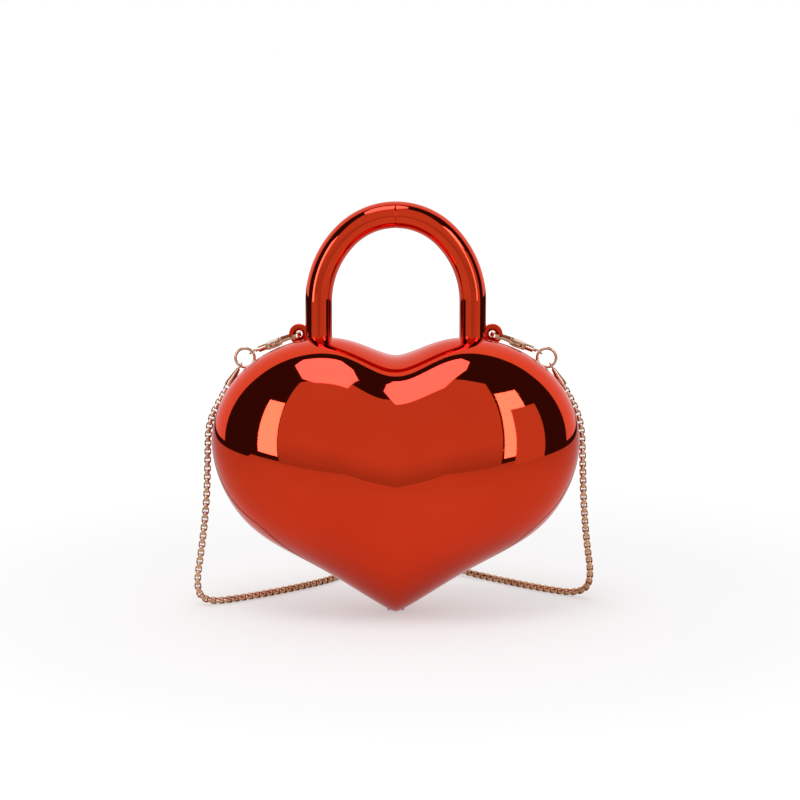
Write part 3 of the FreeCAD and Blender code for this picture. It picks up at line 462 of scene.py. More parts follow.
def dome_skin(name, facing, inset, thickness, edge, round_over, first_up, crisp):
    """A dome of even thickness as one closed skin, with its open edge at a level."""
    close = first_up + NEAR_RIM
    outer = np.concatenate([np.linspace(NEAR_CROWN, close, 60), np.linspace(close, first_up, 4)[1:]])
    inner = np.linspace(first_up, NEAR_CROWN, 44)
    rows = list(dome_rows(inset, facing, SHARES_ROUND, outer))
    rows += rim_rows(facing, inset, thickness, edge, round_over)
    rows += list(dome_rows(inset + thickness, facing, SHARES_ROUND, inner))
    rings = [np.concatenate([row, (row * (-1, 1, 1))[-2:0:-1]]) for row in rows]
    size = len(rings[0])
    points = [at(*p) for ring in rings for p in ring]
    points.append(at(0, facing * (HALF_DEPTH - inset), CROWN_HEIGHT))
    points.append(at(0, facing * (HALF_DEPTH - inset - thickness), CROWN_HEIGHT))
    faces = [face[::-1] for face in skin(len(rings), size)]
    last = (len(rings) - 1) * size
    for k in range(size):
        faces.append((k, (k + 1) % size, len(points) - 2))
        faces.append((last + (k + 1) % size, last + k, len(points) - 1))
    if facing > 0:
        faces = [face[::-1] for face in faces]
    return mesh_piece(name, points, faces, crisp)


HALVES = {"front": -1, "back": 1}
shells = {}
for label, facing in HALVES.items():
    edge = facing * SEAM_GAP / 2
    shells[label] = dome_skin(f"red_{label}_shell", facing, 0.0, WALL, edge, RIM_ROUND, SHELL_START,
                              SHELL_CRISP)
    print(shells[label].name, len(shells[label].data.vertices), "points")

# %% [markdown]
# Inside, each shell carries moulded fittings: hinge knuckles at the tip, a block that holds a closing
# magnet under the cleft and, at the back, blocks for the screws of the handle and lugs. They are small
# bevelled blocks and turned rings, whose helpers come first.

# %% Blocks and turned rings
HINGE_HEIGHT, KNUCKLE_RADIUS, PIN_BORE = 1.55, 1.4, 0.64
KNUCKLE_LONG, KNUCKLE_SHORT, KNUCKLE_GAP, KNUCKLE_ROOM = 4.4, 1.5, 0.2, 1.75
MAGNET_HEIGHT, MAGNET_POCKET, MAGNET_POCKET_DEPTH = 127.0, 3.15, 2.6
MAGNET_BLOCK = (9.0, 6.0, 12.0)
BLOCK_FLOOR, BLOCK_REACH, BLOCK_SETBACK, BLOCK_DEPTH = 134.3, (35.8, 54.6), 9.3, 9.0


def block(name, low, high, bevel=0.25):
    """A block between two corners given from the seam and the tip, with its edges eased."""
    shape = bmesh.new()
    bmesh.ops.create_cube(shape, size=1.0)
    a, b = at(*low), at(*high)
    for vert in shape.verts:
        vert.co = Vector([a[i] + (vert.co[i] + 0.5) * (b[i] - a[i]) for i in range(3)])
    if bevel:
        bmesh.ops.bevel(shape, geom=shape.edges[:], offset=bevel * MM, segments=2, affect="EDGES",
                        profile=0.5)
    bmesh.ops.recalc_face_normals(shape, faces=shape.faces[:])
    mesh = bpy.data.meshes.new(name)
    shape.to_mesh(mesh)
    shape.free()
    return new_object(name, mesh)


def turned(name, profile, centre, axis, steps=36):
    """A closed profile of (along, radius) pairs turned about an axis, hollow if the profile is."""
    way = Vector(axis)
    side_way = way.orthogonal().normalized()
    up = way.cross(side_way)
    points = []
    for i in range(steps):
        angle = 2 * math.pi * i / steps
        out = side_way * math.cos(angle) + up * math.sin(angle)
        points += [centre + (way * along + out * radius) * MM for along, radius in profile]
    return mesh_piece(name, points, skin(steps, len(profile), closed=True), crisp=35.0)


def rod(name, radius, start, end, centre, axis):
    """A closed cylinder with a fine point left at each end's middle."""
    tiny = radius / 200
    profile = [(start, tiny), (start, radius), (end, radius), (end, tiny)]
    return turned(name, profile, centre, axis, 48)


print("knuckles reach", KNUCKLE_LONG, "mm to each side")

# %% [markdown]
# A Boolean cuts the room that the other half's knuckles turn in, and its result is kept as a plain mesh,
# so nothing depends on the tool afterwards. The fittings are then joined to the shell's mesh.


# %% Cutting and joining
def carve(piece, tool):
    """Cut a tool out of a piece for good, and drop the tool."""
    cutter = piece.modifiers.new("carve", "BOOLEAN")
    cutter.object, cutter.operation, cutter.solver = tool, "DIFFERENCE", "EXACT"
    result = finished_mesh(piece)
    piece.modifiers.clear()
    piece.data = result
    bpy.data.objects.remove(tool)


def joined(name, parts, crisp=40.0):
    """Several meshes as one object."""
    shape = bmesh.new()
    for part in parts:
        shape.from_mesh(part.data)
        bpy.data.objects.remove(part)
    mesh = bpy.data.meshes.new(name)
    shape.to_mesh(mesh)
    shape.free()
    mesh.shade_smooth()
    mesh.set_sharp_from_angle(angle=math.radians(crisp))
    return new_object(name, mesh)


print("cutting and joining ready")

# %% [markdown]
# The screw blocks hang from the curved wall, so their tops are found by looking up from inside until
# the wall is met. A BVH tree of the shell answers such questions quickly.

# %% Screw blocks
BLOCK_COLUMNS, BLOCK_ROWS = 9, 5
BLOCK_SUNK, LOOK_FROM = 0.9, 6.0


def meets(tree, x, y, height, way):
    """Height at which a line going up or down meets the shell."""
    hit = tree.ray_cast(at(x, y, height), Vector((0, 0, way)))[0]
    return hit.z / MM + GRIP_ABOVE_TIP


def screw_block(tree, side):
    """A block whose flat floor takes the screw heads and whose top is sunk in the wall."""
    xs = [side * x for x in np.linspace(*BLOCK_REACH, BLOCK_COLUMNS)]
    ys = np.linspace(BLOCK_SETBACK - BLOCK_DEPTH / 2, BLOCK_SETBACK + BLOCK_DEPTH / 2, BLOCK_ROWS)
    tops = [[meets(tree, x, y, BLOCK_FLOOR - LOOK_FROM, 1) + BLOCK_SUNK for y in ys] for x in xs]
    end, back = BLOCK_COLUMNS - 1, BLOCK_ROWS - 1
    rim = [(i, 0) for i in range(end)] + [(end, j) for j in range(back)]
    rim += [(i, back) for i in range(end, 0, -1)] + [(0, j) for j in range(back, 0, -1)]
    points = [at(xs[i], ys[j], BLOCK_FLOOR) for i, j in rim]
    points += [at(xs[i], ys[j], tops[i][j]) for i, j in rim]
    count = len(rim)
    faces = skin(2, count) + [tuple(range(count))[::-1], tuple(range(count, 2 * count))]
    if side < 0:
        faces = [face[::-1] for face in faces]
    return mesh_piece("screw_block", points, faces)


print("screw blocks stand on", BLOCK_FLOOR, "mm")

# %% [markdown]
# Now each shell is fitted out: first the rooms are cut, then its own knuckles, the seat of its magnet
# and, at the back, the screw blocks are joined to it. It rides its body and stands for its solid.

# %% Fit the shells out
KNUCKLE_EASE, WEB_START, POCKET_START = 0.15, 0.2, -1.0
RIDES = {"front": "front_cover", "back": "case"}
for label, facing in HALVES.items():
    body = shells[label]
    rim = facing * SEAM_GAP / 2
    outer = [(-KNUCKLE_LONG, -KNUCKLE_SHORT - KNUCKLE_GAP), (KNUCKLE_SHORT + KNUCKLE_GAP, KNUCKLE_LONG)]
    inner = [(-KNUCKLE_SHORT, KNUCKLE_SHORT)]
    own, other = (inner, outer) if facing < 0 else (outer, inner)
    hinge = at(0, 0, HINGE_HEIGHT)
    rooms = [rod("room", KNUCKLE_ROOM, a - KNUCKLE_GAP, b + KNUCKLE_GAP, hinge, (1, 0, 0))
             for a, b in other]
    carve(body, joined("knuckle_rooms", rooms))
    parts = [body]
    shoulder = KNUCKLE_RADIUS - KNUCKLE_EASE
    for a, b in own:
        ring = [(a, PIN_BORE), (a, shoulder), (a + KNUCKLE_EASE, KNUCKLE_RADIUS),
                (b - KNUCKLE_EASE, KNUCKLE_RADIUS), (b, shoulder), (b, PIN_BORE)]
        parts.append(turned("knuckle", ring, hinge, (1, 0, 0)))
        near, far = sorted((facing * (PIN_BORE + WEB_START), facing * (KNUCKLE_RADIUS + WALL)))
        parts.append(block("web", (a, near, HINGE_HEIGHT), (b, far, HINGE_HEIGHT + WALL)))
    width, depth, height = MAGNET_BLOCK
    near, far = sorted((rim, rim + facing * depth))
    top = CLEFT_HEIGHT - WALL / 2
    seat = block("magnet_seat", (-width / 2, near, top - height), (width / 2, far, top))
    mouth = at(0, rim, MAGNET_HEIGHT)
    pocket = rod("pocket", MAGNET_POCKET, POCKET_START, MAGNET_POCKET_DEPTH, mouth, (0, facing, 0))
    carve(seat, pocket)
    parts.append(seat)
    if facing > 0:
        tree = BVHTree.FromObject(body, bpy.context.evaluated_depsgraph_get())
        parts += [screw_block(tree, side) for side in (-1, 1)]
    name = body.name
    body.name = name + "_skin"
    shells[label] = joined(name, parts, SHELL_CRISP)
    put(shells[label], RIDES[label], "red_shell", f"{label}_shell")
    print(name, len(shells[label].data.vertices), "points with fittings")

# %% [markdown]
# The lining is a thin flocked tray just inside each shell. At the back its edge stands a little past
# the seam, like the lip of a jewel case, and the front lining stops short to make room for it.

# %% Linings
LINING_INSET, LINING_THICKNESS, LINING_LIP, LINING_RECESS, LINING_ROOM = 2.5, 0.8, 1.6, 2.4, 0.3
LINING_ROUND, LINING_CRISP = 0.25, 60.0
HINGE_DROP, SEAT_ROOM, SEAT_DROP, SCREW_ROOM = 2.0, 0.2, 1.0, 2.1
LINING_EDGES = {"front": (-LINING_RECESS, 0.036), "back": (-LINING_LIP, 0.004)}
for label, facing in HALVES.items():
    edge, first_up = LINING_EDGES[label]
    lining = dome_skin(f"flocked_{label}_lining", facing, LINING_INSET, LINING_THICKNESS, edge,
                       LINING_ROUND, first_up, LINING_CRISP)
    wide = 2 * KNUCKLE_LONG
    cuts = [block("cut", (-wide, -2 * wide, -HINGE_DROP), (wide, 2 * wide, wide), 0)]
    width, depth, height = (c + LINING_ROOM for c in MAGNET_BLOCK)
    across, bottom = width / 2 + SEAT_ROOM, CLEFT_HEIGHT - SEAT_DROP - height
    cuts.append(block("cut", (-across, -depth, bottom), (across, depth, CLEFT_HEIGHT), 0))
    if facing > 0:
        half_room = BLOCK_DEPTH / 2 + LINING_ROOM
        near, far = BLOCK_SETBACK - half_room, BLOCK_SETBACK + half_room
        for side in (-1, 1):
            ends = (side * (BLOCK_REACH[0] - LINING_ROOM), side * (BLOCK_REACH[1] + LINING_ROOM))
            left, right = sorted(ends)
            cuts.append(block("cut", (left, near, BLOCK_FLOOR - SCREW_ROOM), (right, far, LOBE_HEIGHT), 0))
    carve(lining, joined("lining_cuts", cuts))
    lining.data.set_sharp_from_angle(angle=math.radians(LINING_CRISP))
    put(lining, RIDES[label], "lining", f"{label}_lining")
    print(lining.name, len(lining.data.vertices), "points")

# %% [markdown]
# The handle is a bent tube in two halves that meet at the top with a fine line. Its arch is a wide arc
# at each side and a tighter one at the crown, which run into each other without a kink.

# %% Arch of the handle
ARCH_HALF_SPAN, ARCH_PEAK, LEG_HEIGHT, TUBE_RADIUS, HANDLE_SETBACK = 40.0, 45.2, 18.0, 7.0, 7.6
ARCH_HEIGHT = LOBE_HEIGHT + LEG_HEIGHT
ARCH_TURN = math.radians(45)
SIDE_OFFSET = (ARCH_PEAK - ARCH_HALF_SPAN) / (1 + math.tan(ARCH_TURN) - 1 / math.cos(ARCH_TURN))


def arch_place(angle):
    """Point of the arch's middle line and its outward direction, both as (across, up)."""
    outward = (math.cos(angle), math.sin(angle))
    centre, radius = (-SIDE_OFFSET, 0.0), ARCH_HALF_SPAN + SIDE_OFFSET
    if angle > ARCH_TURN:
        centre = (0.0, SIDE_OFFSET * math.tan(ARCH_TURN))
        radius = ARCH_PEAK - centre[1]
    return (centre[0] + radius * outward[0], centre[1] + radius * outward[1]), outward


print("top of the arch", [round(v, 2) for v in arch_place(math.pi / 2)[0]])

# %% [markdown]
# A curve with a round bevel would give the tube, but not its foot. So each half is a ring of points swept
# up its leg and round the arch: the foot follows the shell that it stands on, found by looking down, and
# the joint at the top has a small round-over.

# %% Handle halves
JOINT_ROUND, FOOT_SUNK = 0.35, 0.3
TUBE_SIDES, ARCH_ROWS = 72, 64
LEG_SHARES = (0.0, 0.15, 0.3, 0.5, 0.7, 0.85)


def arch_rows():
    """Angles along the arch, each with how far the tube is drawn in there."""
    edge = JOINT_ROUND / (ARCH_PEAK - SIDE_OFFSET * math.tan(ARCH_TURN))
    arch = [(angle, 0.0) for angle in np.linspace(0, math.pi / 2 - edge, ARCH_ROWS)]
    for turn in (math.radians(turn) for turn in CORNER_TURNS[1:]):
        arch.append((math.pi / 2 - edge + math.sin(turn) * edge, JOINT_ROUND * (1 - math.cos(turn))))
    return arch


def handle_half(name, side, tree):
    """Rings from the shell, up the leg and round to the joint at the top."""
    points = []
    ring = [2 * math.pi * k / TUBE_SIDES for k in range(TUBE_SIDES)]
    for share in LEG_SHARES:
        for a in ring:
            x = side * (ARCH_HALF_SPAN + TUBE_RADIUS * math.cos(a))
            y = HANDLE_SETBACK + TUBE_RADIUS * math.sin(a)
            foot = meets(tree, x, y, ARCH_HEIGHT, -1) - FOOT_SUNK
            points.append(at(x, y, foot + (ARCH_HEIGHT - foot) * share))
    for angle, inset in arch_rows():
        (across, up), outward = arch_place(angle)
        for a in ring:
            out = (TUBE_RADIUS - inset) * math.cos(a)
            y = HANDLE_SETBACK + (TUBE_RADIUS - inset) * math.sin(a)
            points.append(at(side * (across + out * outward[0]), y, ARCH_HEIGHT + up + out * outward[1]))
    rows = len(points) // TUBE_SIDES
    faces = skin(rows, TUBE_SIDES)
    faces += [tuple(range(TUBE_SIDES))[::-1], tuple(range((rows - 1) * TUBE_SIDES, rows * TUBE_SIDES))]
    if side < 0:
        faces = [face[::-1] for face in faces]
    return mesh_piece(name, points, faces, crisp=60.0)


shell_tree = BVHTree.FromObject(shells["back"], bpy.context.evaluated_depsgraph_get())
for label, side in (("left", -1), ("right", 1)):
    half = handle_half(f"red_handle_{label}", side, shell_tree)
    put(half, "case", "red_handle", f"handle_{label}_half")
    print(half.name, len(half.data.vertices), "points")

# %% [markdown]
# Materials are trees of nodes. A few helpers keep them short: one adds a node with its values, and two
# more wire up the kinds that come back most, a sum on masks and a spread of a mask over a range. Shared
# effects are node groups that give out masks only; the shaders stay in each material.


# %% Node helpers
def set_values(inputs, values):
    """Values of sockets; an underscore in a key stands for a space."""
    for key, value in values.items():
        inputs[key.replace("_", " ")].default_value = value


def add(tree, kind, settings=(), **values):
    """A node with plain settings and socket values."""
    node = tree.nodes.new("ShaderNode" + kind)
    for key, value in dict(settings).items():
        setattr(node, key, value)
    set_values(node.inputs, values)
    return node


def calculate(tree, operation, *terms):
    """The result of a Math node on sockets or plain numbers."""
    node = add(tree, "Math", {"operation": operation})
    for socket, term in zip(node.inputs, terms):
        if isinstance(term, bpy.types.NodeSocket):
            tree.links.new(term, socket)
        else:
            socket.default_value = term
    return node.outputs[0]


def spread(tree, value, **limits):
    """A value spread from one range to another."""
    node = add(tree, "MapRange", **limits)
    tree.links.new(value, node.inputs["Value"])
    return node.outputs[0]


print("node helpers ready")

# %% [markdown]
# The first group gives the marks that any handled, polished surface has: slow clouds, a fine grain and a
# few hairlines. The second is for soft things: short fibres and the uneven way they lie.


# %% Groups of marks
def mark_group(name, scales, layers):
    """A group that gives noise masks in the object's own space."""
    group = bpy.data.node_groups.new(name, "ShaderNodeTree")
    for way, names in (("INPUT", scales), ("OUTPUT", [layer[0] for layer in layers])):
        for socket in names:
            group.interface.new_socket(socket, in_out=way, socket_type="NodeSocketFloat")
    ins, outs = group.nodes.new("NodeGroupInput"), group.nodes.new("NodeGroupOutput")
    link = group.links.new
    place = add(group, "TexCoord").outputs["Object"]
    for socket, source, scale, detail, stretch in layers:
        shift = add(group, "Mapping", Scale=stretch)
        link(place, shift.inputs["Vector"])
        noise = add(group, "TexNoise", Detail=detail)
        link(calculate(group, "MULTIPLY", ins.outputs[source], scale), noise.inputs["Scale"])
        link(shift.outputs[0], noise.inputs["Vector"])
        mark = noise.outputs["Fac"]
        if socket == "Hairlines":
            mark = spread(group, mark, From_Min=0.70, From_Max=0.74)
        link(mark, outs.inputs[socket])
    return group


EVEN = (1, 1, 1)
POLISH = mark_group("polish_marks", ("Scale",), (
    ("Clouds", "Scale", 14.0, 2.0, EVEN), ("Grain", "Scale", 900.0, 3.0, EVEN),
    ("Hairlines", "Scale", 60.0, 1.0, (1, 40, 6))))
NAP = mark_group("nap_marks", ("Fibre scale", "Lie scale"), (
    ("Fibres", "Fibre scale", 1.0, 4.0, EVEN), ("Lie", "Lie scale", 1.0, 3.0, EVEN)))
print("groups", [g.name for g in bpy.data.node_groups])

# %% [markdown]
# Every finish here is a Principled material whose even values are set on the shader itself. Its colour and
# roughness move between two values with one of the marks, and its relief is one bump on top of another.
# One helper builds that, so each finish below is a short list of what it looks like.


# %% Finish helpers
def new_material(name):
    """A material and its tree of nodes."""
    made = bpy.data.materials.new(name)
    made.use_nodes = True
    return made, made.node_tree


def marked_finish(name, group, scales, colour, roughness, relief, **values):
    """A Principled material whose colour, roughness and relief follow a group's marks."""
    made, tree = new_material(name)
    link = tree.links.new
    shader = tree.nodes["Principled BSDF"].inputs
    set_values(shader, values)
    source = add(tree, "Group", {"node_tree": group})
    set_values(source.inputs, scales)
    marks = source.outputs
    mark, low, high, dark, light = colour
    mix = add(tree, "Mix", {"data_type": "RGBA"}, A=(*dark, 1.0), B=(*light, 1.0))
    link(spread(tree, marks[mark], From_Min=low, From_Max=high), mix.inputs["Factor"])
    link(mix.outputs["Result"], shader["Base Color"])
    mark, low, high = roughness
    link(spread(tree, marks[mark], To_Min=low, To_Max=high), shader["Roughness"])
    normal = None
    for mark, strength, depth in relief:
        bump = add(tree, "Bump", Strength=strength, Distance=depth)
        link(marks[mark], bump.inputs["Height"])
        if normal:
            link(normal, bump.inputs["Normal"])
        normal = bump.outputs[0]
    link(normal, shader["Normal"])
    return made


print("finish helpers ready")

# %% [markdown]
# The red is metallised plastic: a mirror tinted deep orange red under a thin clear coat. Real moulded
# mirrors are never perfectly true, so slow clouds move the surface by a hair and the grain breaks the
# polish a little.

# %% Red mirror
red_mirror = marked_finish(
    "red_mirror", POLISH, {"Scale": 1.0}, roughness=("Grain", 0.02, 0.05),
    colour=("Clouds", 0.35, 0.65, (0.70, 0.037, 0.004), (0.76, 0.042, 0.005)),
    relief=(("Clouds", 0.02, 0.002), ("Hairlines", 0.015, 0.0001)),
    Metallic=1.0, Coat_Weight=0.15, Coat_Roughness=0.02, Coat_IOR=1.5)
print(red_mirror.name)

# %% [markdown]
# The chain and clasps are plated in a pale rose gold. Stamped and tumbled metal has a soft polish, so
# the grain moves the roughness over a wider range, and slow clouds move the colour between a darker and a
# lighter gold.

# %% Rose gold
rose_gold = marked_finish(
    "rose_gold", POLISH, {"Scale": 6.0}, roughness=("Grain", 0.10, 0.26),
    colour=("Clouds", 0.3, 0.7, (0.57, 0.30, 0.16), (0.74, 0.455, 0.27)),
    relief=(("Grain", 0.05, 0.0001), ("Hairlines", 0.10, 0.00005)), Metallic=1.0)
print(rose_gold.name)

# %% [markdown]
# Screws, pin and magnets are plain steel with fine turning marks. The plug inside the handle is the
# bare red moulding without its mirror, slightly uneven as moulded plastic is.

# %% Steel and bare moulding
plain_steel = marked_finish(
    "plain_steel", POLISH, {"Scale": 4.0}, roughness=("Grain", 0.22, 0.42),
    colour=("Clouds", 0.3, 0.7, (0.48, 0.47, 0.46), (0.64, 0.64, 0.63)),
    relief=(("Hairlines", 0.2, 0.0001),), Metallic=1.0)
bare_red = marked_finish(
    "bare_red_moulding", POLISH, {"Scale": 3.0}, roughness=("Grain", 0.35, 0.55),
    colour=("Clouds", 0.3, 0.7, (0.36, 0.03, 0.012), (0.48, 0.045, 0.016)),
    relief=(("Grain", 0.1, 0.0001),))
print(plain_steel.name, bare_red.name)

# %% [markdown]
# Flock is a carpet of fibres under a millimetre long: matt and dark red. Its colour is painted darker and
# lighter with the uneven lie of the nap, as painted shade in its depth and painted sheen where it leans.
# The tie is a soft woven band. Both use the same nap group at their own scales.

# %% Flock and band
red_flock = marked_finish(
    "dark_red_flock", NAP, {"Fibre scale": 2600.0, "Lie scale": 55.0}, roughness=("Lie", 0.85, 1.0),
    # Painted shade and sheen: the red goes darker and lighter with the lie of the nap.
    colour=("Lie", 0.3, 0.7, (0.070, 0.006, 0.004), (0.13, 0.014, 0.009)),
    relief=(("Fibres", 0.6, 0.0004),),
    Sheen_Weight=0.35, Sheen_Roughness=0.5, Sheen_Tint=(0.8, 0.15, 0.10, 1.0))
soft_band = marked_finish(
    "soft_band", NAP, {"Fibre scale": 3000.0, "Lie scale": 400.0}, roughness=("Fibres", 0.55, 0.8),
    colour=("Lie", 0.3, 0.7, (0.66, 0.65, 0.62), (0.80, 0.79, 0.77)),
    relief=(("Fibres", 0.4, 0.0002),))
print(red_flock.name, soft_band.name)

# %% [markdown]
# Each solid takes the finish of its material slot, and each built piece the finish its name starts with.
# The small castings keep their solids; their edges get a tumbled softness from a Bevel, after a Weld
# closes the seams that the import leaves between faces.

# %% Dress every piece
FINISHES = {"red_shell": red_mirror, "red_handle": red_mirror, "gold_hardware": rose_gold,
            "gold_chain": rose_gold, "steel": plain_steel, "lining": red_flock, "tie": soft_band,
            "joint_plug": bare_red}
CAST = ("clasp_hook", "clasp_lever", "end_cap", "swivel_eye")
WELD_REACH, SOFT_EDGE, SOFT_FROM = 0.01 * MM, 0.2 * MM, math.radians(35)
slots = {row["node"]: row["material_slot"] for row in frame["record"]["subparts"]}


def dress(piece, finish):
    """One finish for a whole piece."""
    piece.data.materials.clear()
    piece.data.materials.append(finish)


for node, obj in frame["nodes"].items():
    dress(obj, FINISHES[slots[node]])
    if node.endswith(CAST):
        weld = obj.modifiers.new("weld", "WELD")
        weld.merge_threshold = WELD_REACH
        soft = obj.modifiers.new("soft_edges", "BEVEL")
        soft.width, soft.segments = SOFT_EDGE, 2
        soft.limit_method, soft.angle_limit = "ANGLE", SOFT_FROM
PREFIXES = {"red_": red_mirror, "flocked_": red_flock, "gold_": rose_gold, "tie_": soft_band}
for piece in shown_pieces():
    for prefix, finish in PREFIXES.items():
        if piece.name.startswith(prefix):
            dress(piece, finish)
print("finishes", [m.name for m in bpy.data.materials])

# %% [markdown]
# The studio is what a mirror is made of. A ready picture of a room could light the purse, but built pieces
# are easier to place. Cards are set by their direction from the purse in degrees: azimuth to the right,
# seen from the camera, and elevation. They don't show to the camera and throw no shadow.

# %% Studio helpers
MIDDLE = at(0, -20, 75)


def towards(azimuth, elevation, distance, eye=MIDDLE):
    """A point in a direction from the eye, which is the middle of the purse unless given."""
    az, el = math.radians(azimuth), math.radians(elevation)
    level = math.cos(el)
    return eye + Vector((math.sin(az) * level, -math.cos(az) * level, math.sin(el))) * distance


def glow(name, strength, tint=(1.0, 1.0, 1.0)):
    """An even glow for cards and walls."""
    made, tree = new_material(name)
    tree.nodes.clear()
    light = add(tree, "Emission", Color=(*tint, 1.0), Strength=strength)
    tree.links.new(light.outputs[0], add(tree, "OutputMaterial").inputs["Surface"])
    return made


def hide_from_lens(made, finish):
    """A piece of the room that only mirrors see."""
    made.data.materials.append(finish)
    made.visible_camera = made.visible_diffuse = made.visible_shadow = False


def card(name, left, right, low, high, distance, finish, crown=0.0, eye=MIDDLE):
    """A curved card that fills a range of directions; its top edge rises by the crown in the middle."""
    columns, rows = 24, 16
    points = []
    for j in range(rows + 1):
        for i in range(columns + 1):
            top = high + crown * math.sin(math.pi * i / columns)
            azimuth, elevation = left + (right - left) * i / columns, low + (top - low) * j / rows
            points.append(towards(azimuth, elevation, distance, eye))
    wide = columns + 1
    faces = [(j * wide + i, j * wide + i + 1, (j + 1) * wide + i + 1, (j + 1) * wide + i)
             for j in range(rows) for i in range(columns)]
    hide_from_lens(mesh_piece(name, points, faces), finish)


print("middle of the purse", [round(v, 4) for v in MIDDLE])

# %% [markdown]
# One large softbox with cut corners hangs overhead and draws the bright patches on the lobes and along
# the arch. An area lamp gives its light, and a glowing face in the same place is what the mirror sees.
# Its front right corner is masked further in, which leaves the dark gap between the two patches.

# %% Softbox overhead
WIDE, DEEP, CORNER, MASK_WIDE, MASK_DEEP = 0.89, 0.82, 0.15, 0.24, 0.40
LAMP_LEVEL = 3.4
SOFTBOX_PLACE = Vector((-0.205, -0.44, 1.44))
lamp = bpy.data.lights.new("overhead_softbox", "AREA")
lamp.shape, lamp.size, lamp.size_y = "RECTANGLE", WIDE, DEEP
lamp.energy = LAMP_LEVEL * math.pi * WIDE * DEEP
overhead = new_object("overhead_softbox", lamp)
overhead.location = MIDDLE + SOFTBOX_PLACE
overhead.visible_camera = overhead.visible_glossy = False
right, far = WIDE / 2, DEEP / 2
outline = [(-right, far - CORNER), (-right, CORNER - far), (CORNER - right, -far),
           (right - MASK_WIDE, -far), (right, MASK_DEEP - far), (right, far - CORNER),
           (right - CORNER, far), (CORNER - right, far)]
spots = [overhead.location + Vector((x, y, 0)) for x, y in outline]
face = mesh_piece("softbox_face", spots, [range(len(spots))])
hide_from_lens(face, glow("softbox_glow", 3.6, (0.9, 0.97, 2.2)))
print("overhead lamp", [round(v, 2) for v in overhead.location], round(lamp.energy, 1))

# %% [markdown]
# A tall strip stands at each side, near the purse, so that the shells and the handle's legs both catch it.
# A wide pale card in front makes the calm red panel in the middle of the heart, and a small card stands
# before the right strip.

# %% Strips and cards
left_eye, right_eye = at(-63, -32, 75), at(63, -32, 75)
CARD_LEVEL = 0.71
strip, pale = glow("strip_glow", 6.0, (0.8, 0.95, 1.7)), glow("card_glow", CARD_LEVEL)
card("left_strip", -55, -41, 3, 40, 0.52, strip, eye=left_eye)
card("right_strip", 35, 55, 3, 48, 0.54, strip, eye=right_eye)
card("right_card", 42, 66, -3.6, 35, 0.5, pale, eye=right_eye)
faded = glow("front_glow", CARD_LEVEL)
card("front_card", -42, 36, -14, 53, 2.0, faded, crown=13)

# %% [markdown]
# The front card's glow is turned down towards the edge of the paper on the floor, as painted shade of that
# edge. It shows as the dark band which runs across the heart just above the image of the floor, lower in
# the middle where the paper is notched.

# %% Painted shade on the foot of the front card
FADE, FOOT_LEVEL = 0.55, 0.46
NOTCH_DROP, NOTCH_SLOPE = -0.25, 0.45
tree = faded.node_tree
spot = add(tree, "SeparateXYZ")
tree.links.new(add(tree, "TexCoord").outputs["Object"], spot.inputs[0])
aside = calculate(tree, "ABSOLUTE", spot.outputs["X"])
notch = calculate(tree, "MULTIPLY_ADD", aside, NOTCH_SLOPE, NOTCH_DROP)
above = calculate(tree, "SUBTRACT", spot.outputs["Z"], calculate(tree, "MINIMUM", notch, 0.0))
ground = at(0, 0, FLOOR_HEIGHT).z
# Painted shade: the glow falls from the card's level to the foot's level near the paper's edge.
fade = spread(tree, above, From_Min=ground, From_Max=ground + FADE, To_Min=FOOT_LEVEL, To_Max=CARD_LEVEL)
tree.links.new(fade, tree.nodes["Emission"].inputs["Strength"])
print("front card fades over", FADE, "m")

# %% [markdown]
# A dark room stands in front, at the sides and overhead, with dark ground beside the sheet of paper, so
# that the mirror has depth. It is open at the back, where the white surround lights the rims.

# %% Dark room
ASIDE, BACK, ROOF, FAR, FOOT, GROUND_START = 2.6, 0.35, 2.6, 4.0, -0.077, 0.6
plan = ((-ASIDE, BACK), (-ASIDE, -ASIDE), (ASIDE, -ASIDE), (ASIDE, BACK))
corners = [(x, y, z) for z in (FOOT, ROOF) for x, y in plan]
sides = [(0, 1, 5, 4), (1, 2, 6, 5), (2, 3, 7, 6), (4, 5, 6, 7), (8, 9, 10, 11), (12, 13, 14, 15)]
beside = ((GROUND_START, -ASIDE), (ASIDE, -ASIDE), (ASIDE, FAR), (GROUND_START, FAR))
corners += [(side * x, y, FOOT) for side in (-1, 1) for x, y in beside]
dark = glow("dark_wall_glow", 0.04)
hide_from_lens(mesh_piece("dark_room", [MIDDLE + Vector(c) for c in corners], sides), dark)
print("dark room", len(sides), "faces")

# %% [markdown]
# The floor is a pale sheet of paper whose front edge has a notch in the middle, as its mirror image on the
# heart shows. Half of its outline is listed, and the other half is the same the other way round.

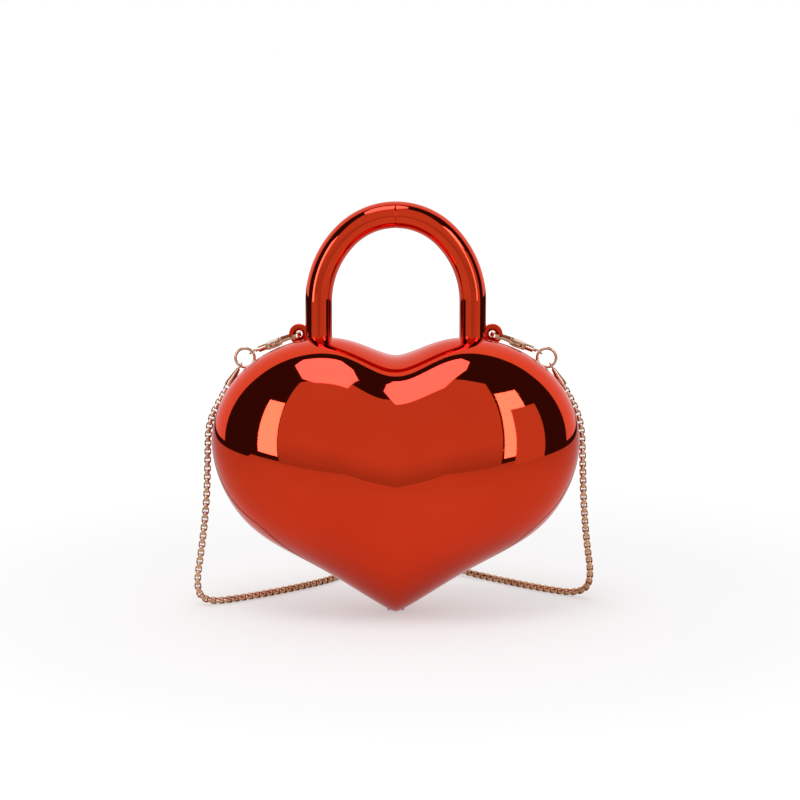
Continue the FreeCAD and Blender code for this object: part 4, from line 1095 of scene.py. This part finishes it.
# %% Floor
half_sheet = [(0, -0.45), (0.06, -0.62), (0.15, -0.86), (0.5, -2.0), (0.75, -2.4), (2.0, -2.4),
              (1.8, -1.0), (0.95, -0.45), (0.95, FAR), (0, FAR)]
corners = [(x * side, y, 0) for side in (1, -1) for x, y in half_sheet]
count = len(half_sheet)
floor_mesh = bpy.data.meshes.new("floor")
floor_mesh.from_pydata(corners, [], [range(count), range(2 * count - 1, count - 1, -1)])
floor = new_object("floor", floor_mesh)
floor.location.z = ground
print("floor at", round(floor.location.z, 4))

# %% [markdown]
# The lamp lights the paper, so it keeps the purse's shadow. A fill brings it up to white for the camera,
# more where it runs away from the lamp, and a little for the mirror, which shows it a tone darker. The
# mirror's fill is strongest close to the purse: painted light that lightens the purse's shadow there.

# %% Paper
paper, tree = new_material("pale_paper")
shader = tree.nodes["Principled BSDF"].inputs
set_values(shader, {"Base Color": (0.52, 0.52, 0.52, 1.0), "Roughness": 0.9, "Specular IOR Level": 0.1,
                    "Emission Strength": 1.0})
path = add(tree, "LightPath").outputs
reach = add(tree, "VectorMath", {"operation": "LENGTH"})
tree.links.new(add(tree, "TexCoord").outputs["Object"], reach.inputs[0])
away = reach.outputs["Value"]
to_camera = spread(tree, away, From_Min=0.2, From_Max=0.9, To_Min=0.42, To_Max=0.72)
# Painted light: the mirror's fill is strongest close to the purse, where it lightens the purse's shadow.
to_mirror = spread(tree, away, From_Min=0.05, From_Max=0.4, To_Min=0.23, To_Max=0.12)
mirrored = calculate(tree, "MAXIMUM", path["Is Glossy Ray"], path["Is Transmission Ray"])
some = calculate(tree, "MULTIPLY", mirrored, to_mirror)
fill = calculate(tree, "MULTIPLY_ADD", to_camera, path["Is Camera Ray"], some)
tree.links.new(fill, shader["Emission Color"])
floor.data.materials.append(paper)
print(paper.name)

# %% [markdown]
# A plain white surround closes the studio. The camera and the mirror see it as white; as light on the
# purse and the paper it is held a little lower, so that it fills the shadows and clips nothing.

# %% White surround
world = bpy.data.worlds.new("studio")
bpy.context.scene.world = world
world.use_nodes = True
tree = world.node_tree
sky = tree.nodes["Background"]
sky.inputs["Color"].default_value = (1, 1, 1, 1)
path = add(tree, "LightPath").outputs
mirrored = calculate(tree, "MAXIMUM", path["Is Glossy Ray"], path["Is Transmission Ray"])
seen = calculate(tree, "MAXIMUM", path["Is Camera Ray"], mirrored)
tree.links.new(spread(tree, seen, To_Min=0.80, To_Max=1.0), sky.inputs["Strength"])
bpy.context.scene.view_settings.view_transform = "Standard"
print("surround", world.name)
